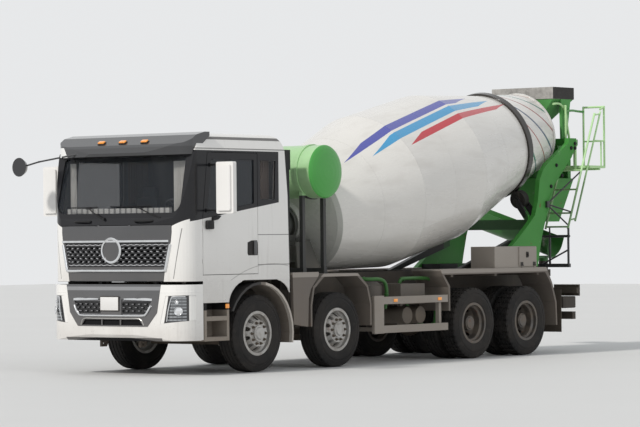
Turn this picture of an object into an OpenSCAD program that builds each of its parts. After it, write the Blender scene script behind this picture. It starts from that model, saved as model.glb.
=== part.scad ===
// Concrete mixer truck with four axles: chassis, tilting cab, turning drum, hopper and swinging chute.
// Places along the truck are measured from axle 1, forward positive; heights are above the ground.

/* [Wheels and axles] */
// Outer diameter of every tyre
tyre_d = 1077; // [1000:1:1120]
// Width of every tyre
tyre_w = 315; // [280:1:330]
// Diameter of the rim's flange
rim_d = 620; // [600:1:640]
// From axle 1 back to axle 2
axle_2_back = 1800; // [1780:10:1900]
// From axle 2 back to axle 3
axle_3_back = 3310; // [3250:10:3500]
// From axle 3 back to axle 4
axle_4_back = 1400; // [1350:10:1450]
// Outer face of the steered tyres from the middle
steer_track_y = 1192; // [1180:1:1200]
// Outer face of the rear outer tyres from the middle
drive_track_y = 1245; // [1240:1:1250]
// Gap between the two tyres of a twin wheel
twin_gap = 35; // [20:1:50]
// Kingpin from the middle
kingpin_y = 820; // [800:1:835]

/* [Frame] */
// Outer width over the two frame rails
frame_w = 850; // [800:10:900]
// Height of a frame rail
rail_h = 300; // [250:10:320]
// Top of the frame rails above the ground
rail_top_z = 1120; // [1100:1:1140]
// Thickness of a frame rail's web and flanges
rail_t = 12; // [8:1:20]
// Width of a frame rail's flanges
rail_flange = 90; // [80:1:100]
// Front end of the frame ahead of axle 1
frame_front = 1500; // [1450:10:1520]
// Rear end of the frame behind axle 1
frame_back = 7900; // [7850:10:8000]
// Height of the mixer's subframe on the rails
subframe_h = 220; // [200:10:240]

/* [Cab] */
// Width of the cab over its sides
cab_w = 2490; // [2440:10:2500]
// Front face of the cab ahead of axle 1
cab_front = 1660; // [1650:1:1670]
// Rear face of the cab behind axle 1
cab_back = 630; // [600:10:650]
// Underside of the cab
cab_floor_z = 1280; // [1275:1:1290]
// Top of the cab's roof
cab_roof_z = 3300; // [3250:10:3320]
// Thickness of the cab's walls
cab_wall = 60; // [40:1:80]
// Radius of the cab's front corners in plan
cab_corner_r = 260; // [200:10:300]
// Radius of the bow of the cab's front
cab_bow_r = 9000; // [6000:100:20000]
// Gap round the doors and the front lid
panel_gap = 8; // [6:1:10]
// Front edge of the doors ahead of axle 1
door_front = 1232; // [1220:1:1240]
// Rear edge of the doors ahead of axle 1
door_rear = 66; // [50:1:100]
// Thickness of the doors
door_t = 70; // [60:1:80]
// Thickness of the glass
glass_t = 6; // [5:1:8]
// Outer edge of the door mirrors from the middle
mirror_reach = 1750; // [1700:10:1800]
// Front of the kerb mirror ahead of axle 1
front_reach = 1840; // [1820:1:1880]

/* [Bumper] */
// Front of the bumper ahead of axle 1
bumper_front = 1720; // [1710:1:1730]
// Rear edge of the bumper's sides ahead of axle 1
bumper_rear = 1240; // [1230:1:1260]
// Underside of the bumper
bumper_low_z = 480; // [460:1:500]
// Top of the bumper
bumper_top_z = 1240; // [1220:1:1245]
// Thickness of the bumper's skin
bumper_t = 50; // [40:1:60]

/* [Drum] */
// Tilt of the drum's axis
drum_tilt = 13; // [12:0.5:14]
// Centre of the drum's front rim behind axle 1
drum_front_back = 2387; // [2370:1:2400]
// Centre of the drum's front rim above the ground
drum_front_z = 2169; // [2160:1:2180]
// Radius of the drum's front rim
drum_front_r = 825; // [800:1:850]
// Largest radius of the drum
drum_r = 1170; // [1150:1:1175]
// Length of the drum's front cone
drum_front_len = 1630; // [1600:10:1700]
// Length of the drum's straight part
drum_mid_len = 1615; // [1550:5:1650]
// From the front rim to the middle of the roller track
track_at = 4953; // [4940:1:4960]
// Radius of the roller track
track_r = 868; // [860:1:870]
// Width of the roller track
track_w = 110; // [90:1:120]
// From the front rim to the drum's mouth
mouth_at = 5970; // [5950:1:5990]
// Outer radius of the drum's mouth
mouth_r = 650; // [640:1:655]
// Thickness of the drum's shell
drum_t = 10; // [8:1:14]
// Radius of the drum rollers
roller_r = 140; // [120:1:150]
// Angle of each roller from straight below the track
roller_angle = 30; // [28:1:32]

/* [Mixer structure] */
// Inner face of the rear pedestal's side arms from the middle
pedestal_y = 700; // [698:1:720]
// Thickness of the rear pedestal's side arms
pedestal_t = 80; // [60:1:100]
// Radius of the water tank
tank_r = 382; // [350:1:400]
// Half length of the water tank's barrel
tank_half = 1130; // [1000:10:1150]
// Water tank's axis behind axle 1
tank_back = 1600; // [1580:1:1620]
// Height of the water tank's axis
tank_z = 2800; // [2780:1:2820]
// Top of the hopper's rim
hopper_top_z = 4250; // [4230:1:4270]
// Half width of the hopper's rim
hopper_half_w = 600; // [580:1:620]
// Rear end of the platform's rail behind axle 1
rear_reach = 9225; // [9200:5:9250]
// Walking surface of the platform
platform_z = 2980; // [2960:10:3000]
// Outer edge of the platform from the middle
platform_y = 967; // [950:1:990]
// Inner edge of the platform from the middle
platform_in = 535; // [520:1:550]
// Height of the guard rail over the platform
guard_h = 960; // [900:10:1000]
// Outside diameter of the hand rails' tube
rail_tube_d = 34; // [30:1:42]
// Length of the swinging chute
chute_len = 1500; // [1400:10:1600]
// Inner radius of the chute's trough
chute_r = 200; // [180:1:220]

/* [Hidden] */
$fn = 64;

// Running clearance between a shaft and its bore, and the seat gap between parts that move apart
fit_gap = 0.05;
seat_gap = 0.3;

// The origin lies on the ground under the middle of the whole length
front_axle_x = (rear_reach - front_reach) / 2;
tyre_r = tyre_d / 2;
axle_x = [0, -axle_2_back, -axle_2_back - axle_3_back, -axle_2_back - axle_3_back - axle_4_back];
bead_r = rim_d / 2 - 22;
frame_y = frame_w / 2;
rail_low_z = rail_top_z - rail_h;
subframe_top_z = rail_top_z + subframe_h;
cab_y = cab_w / 2;

module place() { translate([front_axle_x, 0, 0]) children(); }

// Both sides of the truck
module both_sides() { children(); mirror([0, 1, 0]) children(); }

// Points of an arc from angle a0 to a1
function arc(cx, cy, r, a0, a1, n) =
    [for (i = [0:n]) let (a = a0 + (a1 - a0) * i / n) [cx + r * cos(a), cy + r * sin(a)]];

// Outline in plan of a body with a bowed front and round front corners
function bowed_plan(back_x, front_x, half_w, r, bow) =
    let (flat = half_w - r, drop = flat * flat / (2 * bow), steps = 8)
    concat([[back_x, -half_w]],
           arc(front_x - drop - r, -flat, r, -90, 0, 9),
           [for (i = [1:steps - 1]) let (y = flat * (2 * i / steps - 1)) [front_x - y * y / (2 * bow), y]],
           arc(front_x - drop - r, flat, r, 0, 90, 9),
           [[back_x, half_w]]);

// A flat shape in X and Z becomes a plate from y0 to y1
module side_plate(y0, y1) {
    translate([0, y1, 0]) rotate([90, 0, 0]) linear_extrude(y1 - y0) children();
}

// A flat shape in Y and Z becomes a plate from x0 to x1
module front_plate(x0, x1) {
    translate([x0, 0, 0]) rotate([90, 0, 90]) linear_extrude(x1 - x0) children();
}

// A box between two corners
module block(low, high) { translate(low) cube(high - low); }

// A round bar between two points
module bar(from, to, d) {
    v = to - from;
    len = norm(v);
    translate(from) rotate([0, acos(v[2] / len), atan2(v[1], v[0])]) cylinder(d = d, h = len, $fn = 24);
}

// A cylinder along Y between y0 and y1
module y_rod(x, z, y0, y1, r) { translate([x, y1, z]) rotate([90, 0, 0]) cylinder(r = r, h = y1 - y0); }

// Wheels

// Half width of the rim between its flanges
rim_half_w = 122;
spindle_r = 40;
axle_tube_r = 65;
hub_r = 110;
hand_hole_d = 62;
hand_hole_count = 10;
steer_wheel_y = steer_track_y - tyre_w / 2;
twin_offset = tyre_w + twin_gap;
drive_wheel_y = drive_track_y - tyre_w / 2;

// Tyre section, radius and distance from its middle plane
function tyre_section() =
    let (h = tyre_w / 2)
    [[bead_r, -rim_half_w], [bead_r + 26, -rim_half_w - 6], [bead_r + 60, -h + 14], [tyre_r - 130, -h],
     [tyre_r - 60, -h + 6], [tyre_r - 22, -h + 16], [tyre_r - 4, -h + 36], [tyre_r, -h + 56],
     [tyre_r, h - 56], [tyre_r - 4, h - 36], [tyre_r - 22, h - 16], [tyre_r - 60, h - 6],
     [tyre_r - 130, h], [bead_r + 60, h - 14], [bead_r + 26, rim_half_w + 6], [bead_r, rim_half_w],
     [bead_r, 80], [bead_r + 90, 105], [tyre_r - 45, 110], [tyre_r - 45, -110], [bead_r + 90, -105],
     [bead_r, -80]];

// Tyre with its middle plane at y
module tyre(y) {
    groove_w = 12;
    groove_h = 14;
    color([0.07, 0.07, 0.075])
    translate([0, y, tyre_r]) rotate([90, 0, 0]) difference() {
        rotate_extrude($fn = 96) polygon(tyre_section());
        for (at = [-52, 0, 52])
            translate([0, 0, at - groove_w / 2]) difference() {
                cylinder(r = tyre_r + 5, h = groove_w, $fn = 96);
                translate([0, 0, -1]) cylinder(r = tyre_r - groove_h, h = groove_w + 2, $fn = 96);
            }
    }
}

// Rim well with its two flanges, radius and distance from the middle plane
function rim_section() =
    [[bead_r - 8, -rim_half_w], [rim_d / 2, -rim_half_w - 8], [rim_d / 2, -rim_half_w - 14],
     [bead_r - 16, -rim_half_w - 14], [bead_r - 16, -85], [bead_r - 42, -60], [bead_r - 42, 60],
     [bead_r - 16, 85], [bead_r - 16, rim_half_w + 14], [rim_d / 2, rim_half_w + 14],
     [rim_d / 2, rim_half_w + 8], [bead_r - 8, rim_half_w], [bead_r, rim_half_w - 1], [bead_r, 81],
     [bead_r - 30, 60], [bead_r - 30, -60], [bead_r, -81], [bead_r, -rim_half_w + 1]];

// Rim with a dished disc; side is 1 for the left, and dish is where the disc's nave face lies
module rim_body(dish, nave_r, hole_ring) {
    disc_t = 14;
    well_r = bead_r - 38;
    difference() {
        union() {
            rotate_extrude($fn = 96) polygon(rim_section());
            rotate_extrude($fn = 96)
                polygon([[hub_r - 30, dish - disc_t], [nave_r, dish - disc_t], [well_r, 40 - disc_t],
                         [well_r, 40], [nave_r + 4, dish], [hub_r - 30, dish]]);
        }
        for (i = [0:hand_hole_count - 1])
            rotate([0, 0, 360 * (i + 0.5) / hand_hole_count])
                translate([hole_ring, 0, -rim_half_w])
                    cylinder(d = hand_hole_d, h = 2.5 * rim_half_w, $fn = 32);
    }
}

// Single wheel of a steered axle: convex disc, hub and brake drum, bored for its spindle
steer_dish = 150;
module rim_steered(i, side) {
    brake_in = 105;
    color([0.62, 0.62, 0.6])
    mirror([0, side > 0 ? 0 : 1, 0]) translate([axle_x[i], steer_wheel_y, tyre_r]) rotate([-90, 0, 0])
        difference() {
            union() {
                rim_body(steer_dish, 178, 208);
                translate([0, 0, -60]) cylinder(r = hub_r, h = steer_dish + 60 + 22);
                translate([0, 0, steer_dish + 22]) cylinder(r1 = hub_r - 20, r2 = hub_r - 34, h = 22);
                translate([0, 0, -brake_in]) difference() {
                    cylinder(r = 205, h = 130);
                    translate([0, 0, -1]) cylinder(r = 190, h = 100);
                }
            }
            translate([0, 0, -200]) cylinder(r = spindle_r + fit_gap, h = 200 + steer_dish);
        }
}

// Twin wheel of a driven axle: two rims whose discs meet, on one hub
module rim_twin(i, side) {
    color([0.35, 0.33, 0.31])
    mirror([0, side > 0 ? 0 : 1, 0]) translate([axle_x[i], drive_wheel_y, tyre_r]) rotate([-90, 0, 0])
        difference() {
            union() {
                mirror([0, 0, 1]) rim_body(twin_offset / 2, 178, 208);
                translate([0, 0, -twin_offset]) rim_body(twin_offset / 2, 178, 208);
                translate([0, 0, -twin_offset]) cylinder(r = hub_r, h = twin_offset + 60);
                translate([0, 0, 60]) cylinder(r1 = hub_r - 10, r2 = hub_r - 24, h = 18);
                translate([0, 0, -twin_offset - 90]) cylinder(r = 205, h = 150);
            }
            translate([0, 0, -twin_offset - 100])
                cylinder(r = axle_tube_r + fit_gap, h = twin_offset + 120);
        }
}

module tyre_steered(i, side) { translate([axle_x[i], 0, 0]) tyre(side * steer_wheel_y); }

module tyre_twin(i, side) {
    translate([axle_x[i], 0, 0]) {
        tyre(side * drive_wheel_y);
        tyre(side * (drive_wheel_y - twin_offset));
    }
}

// Steering knuckle: boss round the kingpin, arm and spindle
kingpin_r = 24;
boss_r = 52;
boss_half_h = 85;
module knuckle(i, side) {
    spindle_end = steer_wheel_y + steer_dish - 30;
    color([0.16, 0.15, 0.14])
    mirror([0, side > 0 ? 0 : 1, 0]) translate([axle_x[i], 0, tyre_r]) difference() {
        union() {
            translate([0, kingpin_y, -boss_half_h]) cylinder(r = boss_r, h = 2 * boss_half_h);
            y_rod(0, 0, kingpin_y, spindle_end, spindle_r);
            y_rod(0, 0, kingpin_y + 70, kingpin_y + 95, 90);
            block([-220, kingpin_y - 20, -70], [0, kingpin_y + 20, -30]);
        }
        translate([0, kingpin_y, -boss_half_h - 1])
            cylinder(r = kingpin_r + fit_gap, h = 2 * boss_half_h + 2);
    }
}

// Axle beams with kingpins, their ears round the knuckle's boss, and leaf springs under the rails
spring_y = frame_y - 45;
spring_half = 720;
module front_axles() {
    beam_z = tyre_r - 110;
    ear_gap = boss_half_h + seat_gap;
    color([0.13, 0.12, 0.12])
    for (i = [0, 1]) translate([axle_x[i], 0, 0]) {
        block([-45, -kingpin_y + boss_r + 40, beam_z - 55], [45, kingpin_y - boss_r - 40, beam_z + 35]);
        both_sides() {
            // ear column and the two ears that hold the kingpin
            block([-45, kingpin_y - boss_r - 45, beam_z - 55],
                  [45, kingpin_y - boss_r - 8, tyre_r + ear_gap + 40]);
            for (s = [-1, 1])
                block([-45, kingpin_y - boss_r - 20, tyre_r + s * (ear_gap + 20) - 20],
                      [45, kingpin_y + 45, tyre_r + s * (ear_gap + 20) + 20]);
            translate([0, kingpin_y, tyre_r - ear_gap - 10]) cylinder(r = kingpin_r, h = 2 * ear_gap + 20);
            // leaf spring, its hangers and the axle seat
            for (k = [0:3])
                block([-spring_half + k * 150, spring_y - 40, beam_z + 95 - k * 20],
                      [spring_half - k * 150, spring_y + 40, beam_z + 115 - k * 20]);
            block([-90, spring_y - 50, beam_z + 35], [90, spring_y + 50, beam_z + 115]);
            for (s = [-1, 1])
                block([s * spring_half - 45, spring_y - 30, beam_z + 95],
                      [s * spring_half + 45, spring_y + 30, rail_low_z]);
        }
    }
}

// Driven axles: housing, axle tube into the hubs, and the leaf spring over both
module rear_axles() {
    tube_end = drive_wheel_y + 10;
    mid_x = (axle_x[2] + axle_x[3]) / 2;
    spring_z = rail_low_z - 130;
    color([0.13, 0.12, 0.12]) {
        for (i = [2, 3]) translate([axle_x[i], 0, tyre_r]) {
            y_rod(0, 0, -tube_end, tube_end, axle_tube_r);
            sphere(r = 210);
            rotate([0, 90, 0]) cylinder(r = 110, h = 330);
            both_sides() {
                y_rod(0, 0, 150, 520, 85);
                block([-80, spring_y - 55, 0], [80, spring_y + 55, spring_z - tyre_r]);
            }
        }
        both_sides() {
            for (k = [0:3])
                block([axle_x[3] + k * 130 - 80, spring_y - 45, spring_z + k * 22],
                      [axle_x[2] - k * 130 + 80, spring_y + 45, spring_z + 22 + k * 22]);
            block([mid_x - 150, spring_y - 60, spring_z + 80], [mid_x + 150, spring_y + 60, rail_low_z]);
        }
    }
}

// Frame

crossmembers = [1380, -1050, -2650, -4150, -5300, -5810, -6320, -7800];
module rail_channel(x0, x1) {
    difference() {
        block([x0, frame_y - rail_flange, rail_low_z], [x1, frame_y, rail_top_z]);
        block([x0 - 1, frame_y - rail_flange - 1, rail_low_z + rail_t],
              [x1 + 1, frame_y - rail_t, rail_top_z - rail_t]);
    }
}

tow_eye_r = 25;
module frame_rails() {
    tube_z = rail_low_z + rail_h / 2;
    lug_z = 430;
    color([0.14, 0.13, 0.13]) {
        both_sides() {
            rail_channel(-frame_back, frame_front);
            // subframe of the mixer
            block([-frame_back + 100, frame_y - 85, rail_top_z], [-1330, frame_y - 5, subframe_top_z]);
            // cab pivot bracket
            difference() {
                side_plate(frame_y + 2, frame_y + 42)
                    polygon([[frame_front - 160, rail_low_z + 40], [cab_pivot_x + 45, cab_pivot_z - 45],
                             [cab_pivot_x + 45, cab_pivot_z + 45], [cab_pivot_x - 45, cab_pivot_z + 45],
                             [frame_front - 160, rail_low_z + 180]]);
                y_rod(cab_pivot_x, cab_pivot_z, frame_y - 5, frame_y + 50, cab_pin_r);
            }
            block([frame_front - 150, frame_y - 1, rail_low_z + 60],
                  [frame_front - 20, frame_y + 3, rail_low_z + 150]);
            // towing lug under the bumper
            difference() {
                side_plate(frame_y - rail_flange, frame_y - rail_flange + 40)
                    polygon([[frame_front - 150, rail_low_z + 5], [frame_front - 10, rail_low_z + 5],
                             [frame_front + 40, lug_z + 45], [frame_front + 40, lug_z - 45],
                             [frame_front - 60, lug_z - 45], [frame_front - 150, lug_z + 120]]);
                y_rod(frame_front - 10, lug_z, 0, frame_y, tow_eye_r);
            }
        }
        for (x = crossmembers)
            block([x - 50, -frame_y + rail_t, tube_z - 100], [x + 50, frame_y - rail_t, tube_z + 100]);
        for (x = [-1400, -3400, -5000, -6700, -7750])
            block([x - 40, -frame_y + 85, rail_top_z + 40], [x + 40, frame_y - 85, subframe_top_z - 40]);
    }
}

// Engine and gearbox as one plain block, the radiator on the rails, and the propeller shaft
radiator_x = [1070, 1170];
module powertrain() {
    shaft_z = tyre_r + 40;
    core_y = frame_y - rail_flange - 10;
    color([0.2, 0.2, 0.21]) {
        block([radiator_x[0], -core_y, 640], [radiator_x[1], core_y, rail_top_z + 1]);
        block([radiator_x[0], -720, rail_top_z], [radiator_x[1], 720, cab_floor_z - 16]);
        block([-300, -frame_y + 95, 640], [1050, frame_y - 95, 1225]);
        block([-1000, -240, 700], [-300, 240, 1080]);
        translate([-2050, 0, shaft_z + 150]) rotate([0, 90, 0]) cylinder(r = 60, h = 1060);
        bar([-2050, 0, shaft_z + 150], [axle_x[2] + 336, 0, tyre_r], 110);
        bar([axle_x[3] + 330, 0, tyre_r], [axle_x[2] - 210 - seat_gap, 0, tyre_r], 110);
    }
}

// Bumper

lamp_inner_y = 900;
module bumper_form(inset) {
    // an inset form runs past the skin's lower and upper edges
    low_z = bumper_low_z - (inset > 0 ? 40 : 0);
    top_z = bumper_top_z + (inset > 0 ? 60 : 0);
    intersection() {
        translate([0, 0, bumper_low_z - 20])
            linear_extrude(bumper_top_z - bumper_low_z + 40)
                offset(delta = -inset)
                    polygon(bowed_plan(bumper_rear - 60, bumper_front, cab_y, 300, 8000));
        side_plate(-cab_y - 20, cab_y + 20)
            offset(delta = -inset)
                polygon([[bumper_rear - 200, bumper_low_z + 40], [bumper_rear + 60, low_z],
                         [bumper_front - 70, low_z], [bumper_front - 10, bumper_low_z + 80],
                         [bumper_front + 10, 900], [bumper_front - 30, top_z], [bumper_rear - 200, top_z]]);
    }
}

// Trapezoid, half widths at its top and bottom
module trapezoid(top_w, low_w, z0, z1) {
    polygon([[-low_w, z0], [low_w, z0], [top_w, z1], [-top_w, z1]]);
}

insert_depth = 28;
module insert_outline() {
    union() {
        trapezoid(875, 800, 860, bumper_top_z + 60);
        trapezoid(800, 640, 672, 861);
    }
}

// Lip under the bumper
module lip_outline() { trapezoid(880, 850, bumper_low_z - 60, bumper_low_z + 38); }

module lamp_outline() {
    polygon([[lamp_inner_y + 40, 1090], [1300, 1100], [1300, 760], [lamp_inner_y - 55, 712]]);
}

module bumper() {
    color([0.9, 0.9, 0.89])
    difference() {
        bumper_form(0);
        bumper_form(bumper_t);
        block([bumper_rear - 300, -cab_y - 10, bumper_low_z - 100],
              [bumper_rear, cab_y + 10, bumper_top_z + 100]);
        difference() {
            front_plate(bumper_front - 300, bumper_front + 50) insert_outline();
            bumper_form(insert_depth);
        }
        both_sides() difference() {
            front_plate(bumper_front - 330, bumper_front + 50) lamp_outline();
            bumper_form(bumper_t - 10);
        }
        front_plate(bumper_front - 120, bumper_front + 50) lip_outline();
        // slots for the towing lugs
        both_sides() block([frame_front - 160, frame_y - rail_flange - 6, bumper_low_z - 10],
                           [frame_front + 50, frame_y - rail_flange + 46, bumper_low_z + bumper_t + 10]);
    }
    // brackets from the frame's ends to the skin
    color([0.14, 0.14, 0.14]) both_sides()
        for (z = [880, 1040]) difference() {
            block([frame_front, frame_y - 50, z], [bumper_front, frame_y, z + 40]);
            difference() {
                block([frame_front - 10, 0, 0], [bumper_front + 100, cab_y, 2000]);
                bumper_form(bumper_t - 2);
            }
        }
}

module bumper_insert() {
    color([0.3, 0.3, 0.31])
    difference() {
        intersection() {
            front_plate(bumper_front - 300, bumper_front + 50) offset(delta = -2) insert_outline();
            bumper_form(-6);
        }
        bumper_form(insert_depth);
        // opening of the lower mesh round the plate's place, and the slot under it
        difference() {
            front_plate(bumper_front - 200, bumper_front + 50) trapezoid(720, 600, 815, 1040);
            front_plate(bumper_front - 200, bumper_front + 50) cell_mesh(720, 600, 815, 1040, 24);
            block([bumper_front - 200, -190, 800], [bumper_front + 50, 190, 1060]);
        }
        difference() {
            intersection() {
                front_plate(bumper_front - 200, bumper_front + 50) trapezoid(721, 601, 814, 1041);
                front_plate(bumper_front - 200, bumper_front + 50) cell_mesh(720, 600, 815, 1040, 24);
            }
            bumper_form(10);
            block([bumper_front - 200, -190, 800], [bumper_front + 50, 190, 1060]);
        }
        difference() {
            front_plate(bumper_front - 200, bumper_front + 50) trapezoid(500, 560, 690, 765);
            bumper_form(20);
            for (y = [-170, 170])
                block([bumper_front - 200, y - 10, 600], [bumper_front + 50, y + 10, 800]);
        }
    }
    color([0.3, 0.3, 0.31]) difference() {
        intersection() {
            front_plate(bumper_front - 120, bumper_front + 50) offset(delta = -2) lip_outline();
            bumper_form(-4);
        }
        bumper_form(bumper_t);
    }
}

module headlamps() {
    color([0.85, 0.88, 0.9])
    both_sides() difference() {
        intersection() {
            front_plate(bumper_front - 330, bumper_front + 50) offset(delta = -2) lamp_outline();
            bumper_form(4);
        }
        bumper_form(bumper_t - 10);
    }
}

// Cab

cab_pivot_x = 1590;
cab_pivot_z = 980;
cab_pin_r = 30;
belt_z = 2130;
screen_low_x = 1600;
screen_top_x = 1400;
screen_top_z = 3030;
firewall_x = 1490;

// Outline of the cab in X and Z
module cab_side() {
    polygon(concat(
        [[-cab_back, cab_floor_z], [cab_front + 20, cab_floor_z], [cab_front + 2, cab_floor_z + 120],
         [cab_front - 2, belt_z - 100], [screen_low_x, belt_z + 20], [screen_top_x, screen_top_z],
         [1250, cab_roof_z - 50], [1120, cab_roof_z]],
        [[-cab_back + 300, cab_roof_z]],
        arc(-cab_back + 290, cab_roof_z - 200, 200, 90, 165, 5),
        [[-cab_back + 30, 2450]]));
}

// Outline of the cab in Y and Z
module cab_section() {
    polygon(concat([[-cab_y, cab_floor_z - 10], [cab_y, cab_floor_z - 10], [cab_y, 3080]],
        arc(cab_y - 210, cab_roof_z - 180, 180, 15, 90, 5),
        arc(-cab_y + 210, cab_roof_z - 180, 180, 90, 165, 5), [[-cab_y, 3080]]));
}

module cab_form(inset) {
    intersection() {
        translate([0, 0, cab_floor_z - 100]) linear_extrude(cab_roof_z - cab_floor_z + 200)
            offset(delta = -inset)
                polygon(bowed_plan(-cab_back - 20, cab_front, cab_y, cab_corner_r, cab_bow_r));
        side_plate(-cab_y - 100, cab_y + 100) offset(delta = -inset) cab_side();
        front_plate(-cab_back - 100, cab_front + 200) offset(delta = -inset) cab_section();
    }
}

// Door outline; the window pillar in front of it leans with the windscreen
door_low_z = 1370;
door_top_z = 3030;
module door_outline() {
    polygon([[door_rear, door_low_z], [door_front, door_low_z], [door_front, belt_z], [1125, door_top_z],
             [door_rear, door_top_z]]);
}

module door_window() {
    polygon([[door_rear + 75, 2340], [door_front - 90, 2195], [1040, door_top_z - 90],
             [door_rear + 75, door_top_z - 90]]);
}

module side_window() { polygon([[-310, 2395], [0, 2395], [0, 2930], [-340, 2930]]); }

screen_low_z = 2215;
screen_high_z = 2985;
screen_half_w = 1130;
module screen_outline() {
    r = 150;
    y = screen_half_w;
    polygon(concat(arc(-y + r, screen_low_z + r, r, 180, 270, 6),
                   arc(y - r, screen_low_z + r, r, 270, 360, 6),
                   [[y - 20, screen_high_z - 30], [y - 60, screen_high_z], [-y + 60, screen_high_z],
                    [-y + 20, screen_high_z - 30]]));
}

// Lid over the front, between the corner panels and under the cowl
lid_t = 50;
lid_low_w = 860;
lid_low_z = 1290;
lid_top_z = 2045;
grille_top_w = 945;
grille_low_w = 875;
grille_z = [1480, 1815];
module lid_outline() {
    polygon([[-lid_low_w, lid_low_z], [lid_low_w, lid_low_z], [880, 1420], [985, 1830], [1000, 1950],
             [1000, lid_top_z], [-1000, lid_top_z], [-1000, 1950], [-985, 1830], [-880, 1420]]);
}

// What lies behind a skin of the given thickness, also under the cab's lower edge
module behind_lid(t) {
    cab_form(t);
    translate([0, 0, -t - 30]) cab_form(t);
}

// Hinge knuckles along the lid's top edge: half on the lid, half on the cab
lid_axis_x = cab_front - 15;
lid_axis_z = lid_top_z + panel_gap / 2;
lid_hinge_r = 7;
lid_hinge_y = 300;
module lid_knuckle(from_y, to_y, r) {
    both_sides() y_rod(lid_axis_x, lid_axis_z, lid_hinge_y + from_y, lid_hinge_y + to_y, r);
}

rebate = 18;
hinge_r = 9;
hinge_h = 60;
door_hinge_z = [1550, 1980];
door_axis_x = door_front + panel_gap / 2;
module hinge_pocket(z) {
    translate([door_axis_x, cab_y, z - hinge_h / 2 - 1])
        cylinder(r = hinge_r + 6, h = hinge_h + 2, $fn = 32);
}

module cab_shell() {
    color([0.9, 0.9, 0.89])
    difference() {
        union() {
            difference() {
                cab_form(0);
                intersection() {
                    cab_form(cab_wall);
                    block([-cab_back, -cab_y, cab_floor_z + cab_wall], [firewall_x, cab_y, cab_roof_z]);
                }
                // windscreen with its rebate
                front_plate(1200, cab_front + 100) screen_outline();
                intersection() {
                    front_plate(1200, cab_front + 100) offset(delta = rebate) screen_outline();
                    cab_form(rebate);
                }
                both_sides() {
                    side_plate(cab_y - 150, cab_y + 10) offset(delta = panel_gap) door_outline();
                    side_plate(cab_y - 150, cab_y + 10) side_window();
                    intersection() {
                        side_plate(cab_y - 150, cab_y + 10) offset(delta = rebate) side_window();
                        cab_form(rebate);
                    }
                }
                // pocket of the front lid, open at the cab's lower edge
                difference() {
                    front_plate(cab_front - 250, cab_front + 100) {
                        offset(delta = panel_gap) lid_outline();
                        trapezoid(lid_low_w + panel_gap, lid_low_w + panel_gap, cab_floor_z - 20, lid_low_z);
                    }
                    behind_lid(lid_t + panel_gap);
                }
            }
            // arms from the floor to the tilt pins, bent back so that they clear the bumper
            both_sides() translate([cab_pivot_x, 0, cab_pivot_z]) side_plate(frame_y + 50, frame_y + 110)
                polygon([[-30, -50], [40, -45], [45, 40], [-20, 50], [-215, 195],
                         [-215, cab_floor_z - cab_pivot_z + 5], [-350, cab_floor_z - cab_pivot_z + 5],
                         [-320, 120], [-60, -40]]);
            // tilt pins
            both_sides() y_rod(cab_pivot_x, cab_pivot_z, frame_y + 2, frame_y + 115, cab_pin_r - fit_gap);
            // cab half of the door hinges
            both_sides() for (z = door_hinge_z)
                translate([door_axis_x, cab_y, z + hinge_h / 2 + seat_gap])
                    cylinder(r = hinge_r, h = hinge_h / 2, $fn = 32);
            // cab half of the lid's hinges
            lid_knuckle(seat_gap, 30, lid_hinge_r);
        }
        both_sides() for (z = door_hinge_z) hinge_pocket(z);
        lid_knuckle(-35, 0, lid_hinge_r + 5);
    }
}

module cab_glass() {
    color([0.35, 0.4, 0.42, 0.5]) {
        intersection() {
            front_plate(1200, cab_front + 100) offset(delta = rebate - 1) screen_outline();
            difference() {
                cab_form(rebate);
                cab_form(rebate + glass_t);
            }
        }
        both_sides() intersection() {
            side_plate(cab_y - 150, cab_y + 10) offset(delta = rebate - 1) side_window();
            difference() {
                cab_form(rebate);
                cab_form(rebate + glass_t);
            }
        }
    }
}

module visor() {
    color([0.28, 0.28, 0.29])
    difference() {
        intersection() {
            side_plate(-1215, 1215)
                polygon([[1380, 3005], [1560, 3000], [1575, 3040], [1500, 3150], [1320, 3270],
                         [1140, cab_roof_z + 12], [1040, cab_roof_z + 12], [1040, cab_roof_z - 40]]);
            translate([0, 0, 2900]) linear_extrude(600)
                polygon(bowed_plan(0, cab_front - 60, cab_y, 200, 5000));
        }
        cab_form(0);
    }
    // kerb mirror on its arm from the windscreen's right top corner
    mirror_x = front_reach - 30;
    color([0.12, 0.12, 0.12]) {
        bar([1500, -700, 3060], [mirror_x - 90, -1330, 2950], 24);
        bar([mirror_x - 90, -1330, 2950], [mirror_x - 20, -1500, 2900], 24);
        translate([mirror_x - 90, -1330, 2950]) sphere(d = 30, $fn = 24);
        translate([mirror_x - 30, -1595, 2880]) rotate([0, 90, 0])
            cylinder(r1 = 105, r2 = 132, h = 60, $fn = 48);
    }
}

module seat(x, y) {
    translate([x, y, 0]) {
        block([-120, -180, cab_floor_z + cab_wall], [160, 180, 1640]);
        hull() {
            block([-220, -240, 1660], [260, 240, 1740]);
            block([-230, -220, 1640], [240, 220, 1760]);
        }
        hull() {
            block([-300, -230, 1740], [-200, 230, 1780]);
            block([-420, -190, 2400], [-330, 190, 2440]);
        }
        block([-450, -120, 2450], [-360, 120, 2600]);
        block([-425, -30, 2430], [-395, 30, 2460]);
    }
}

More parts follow.
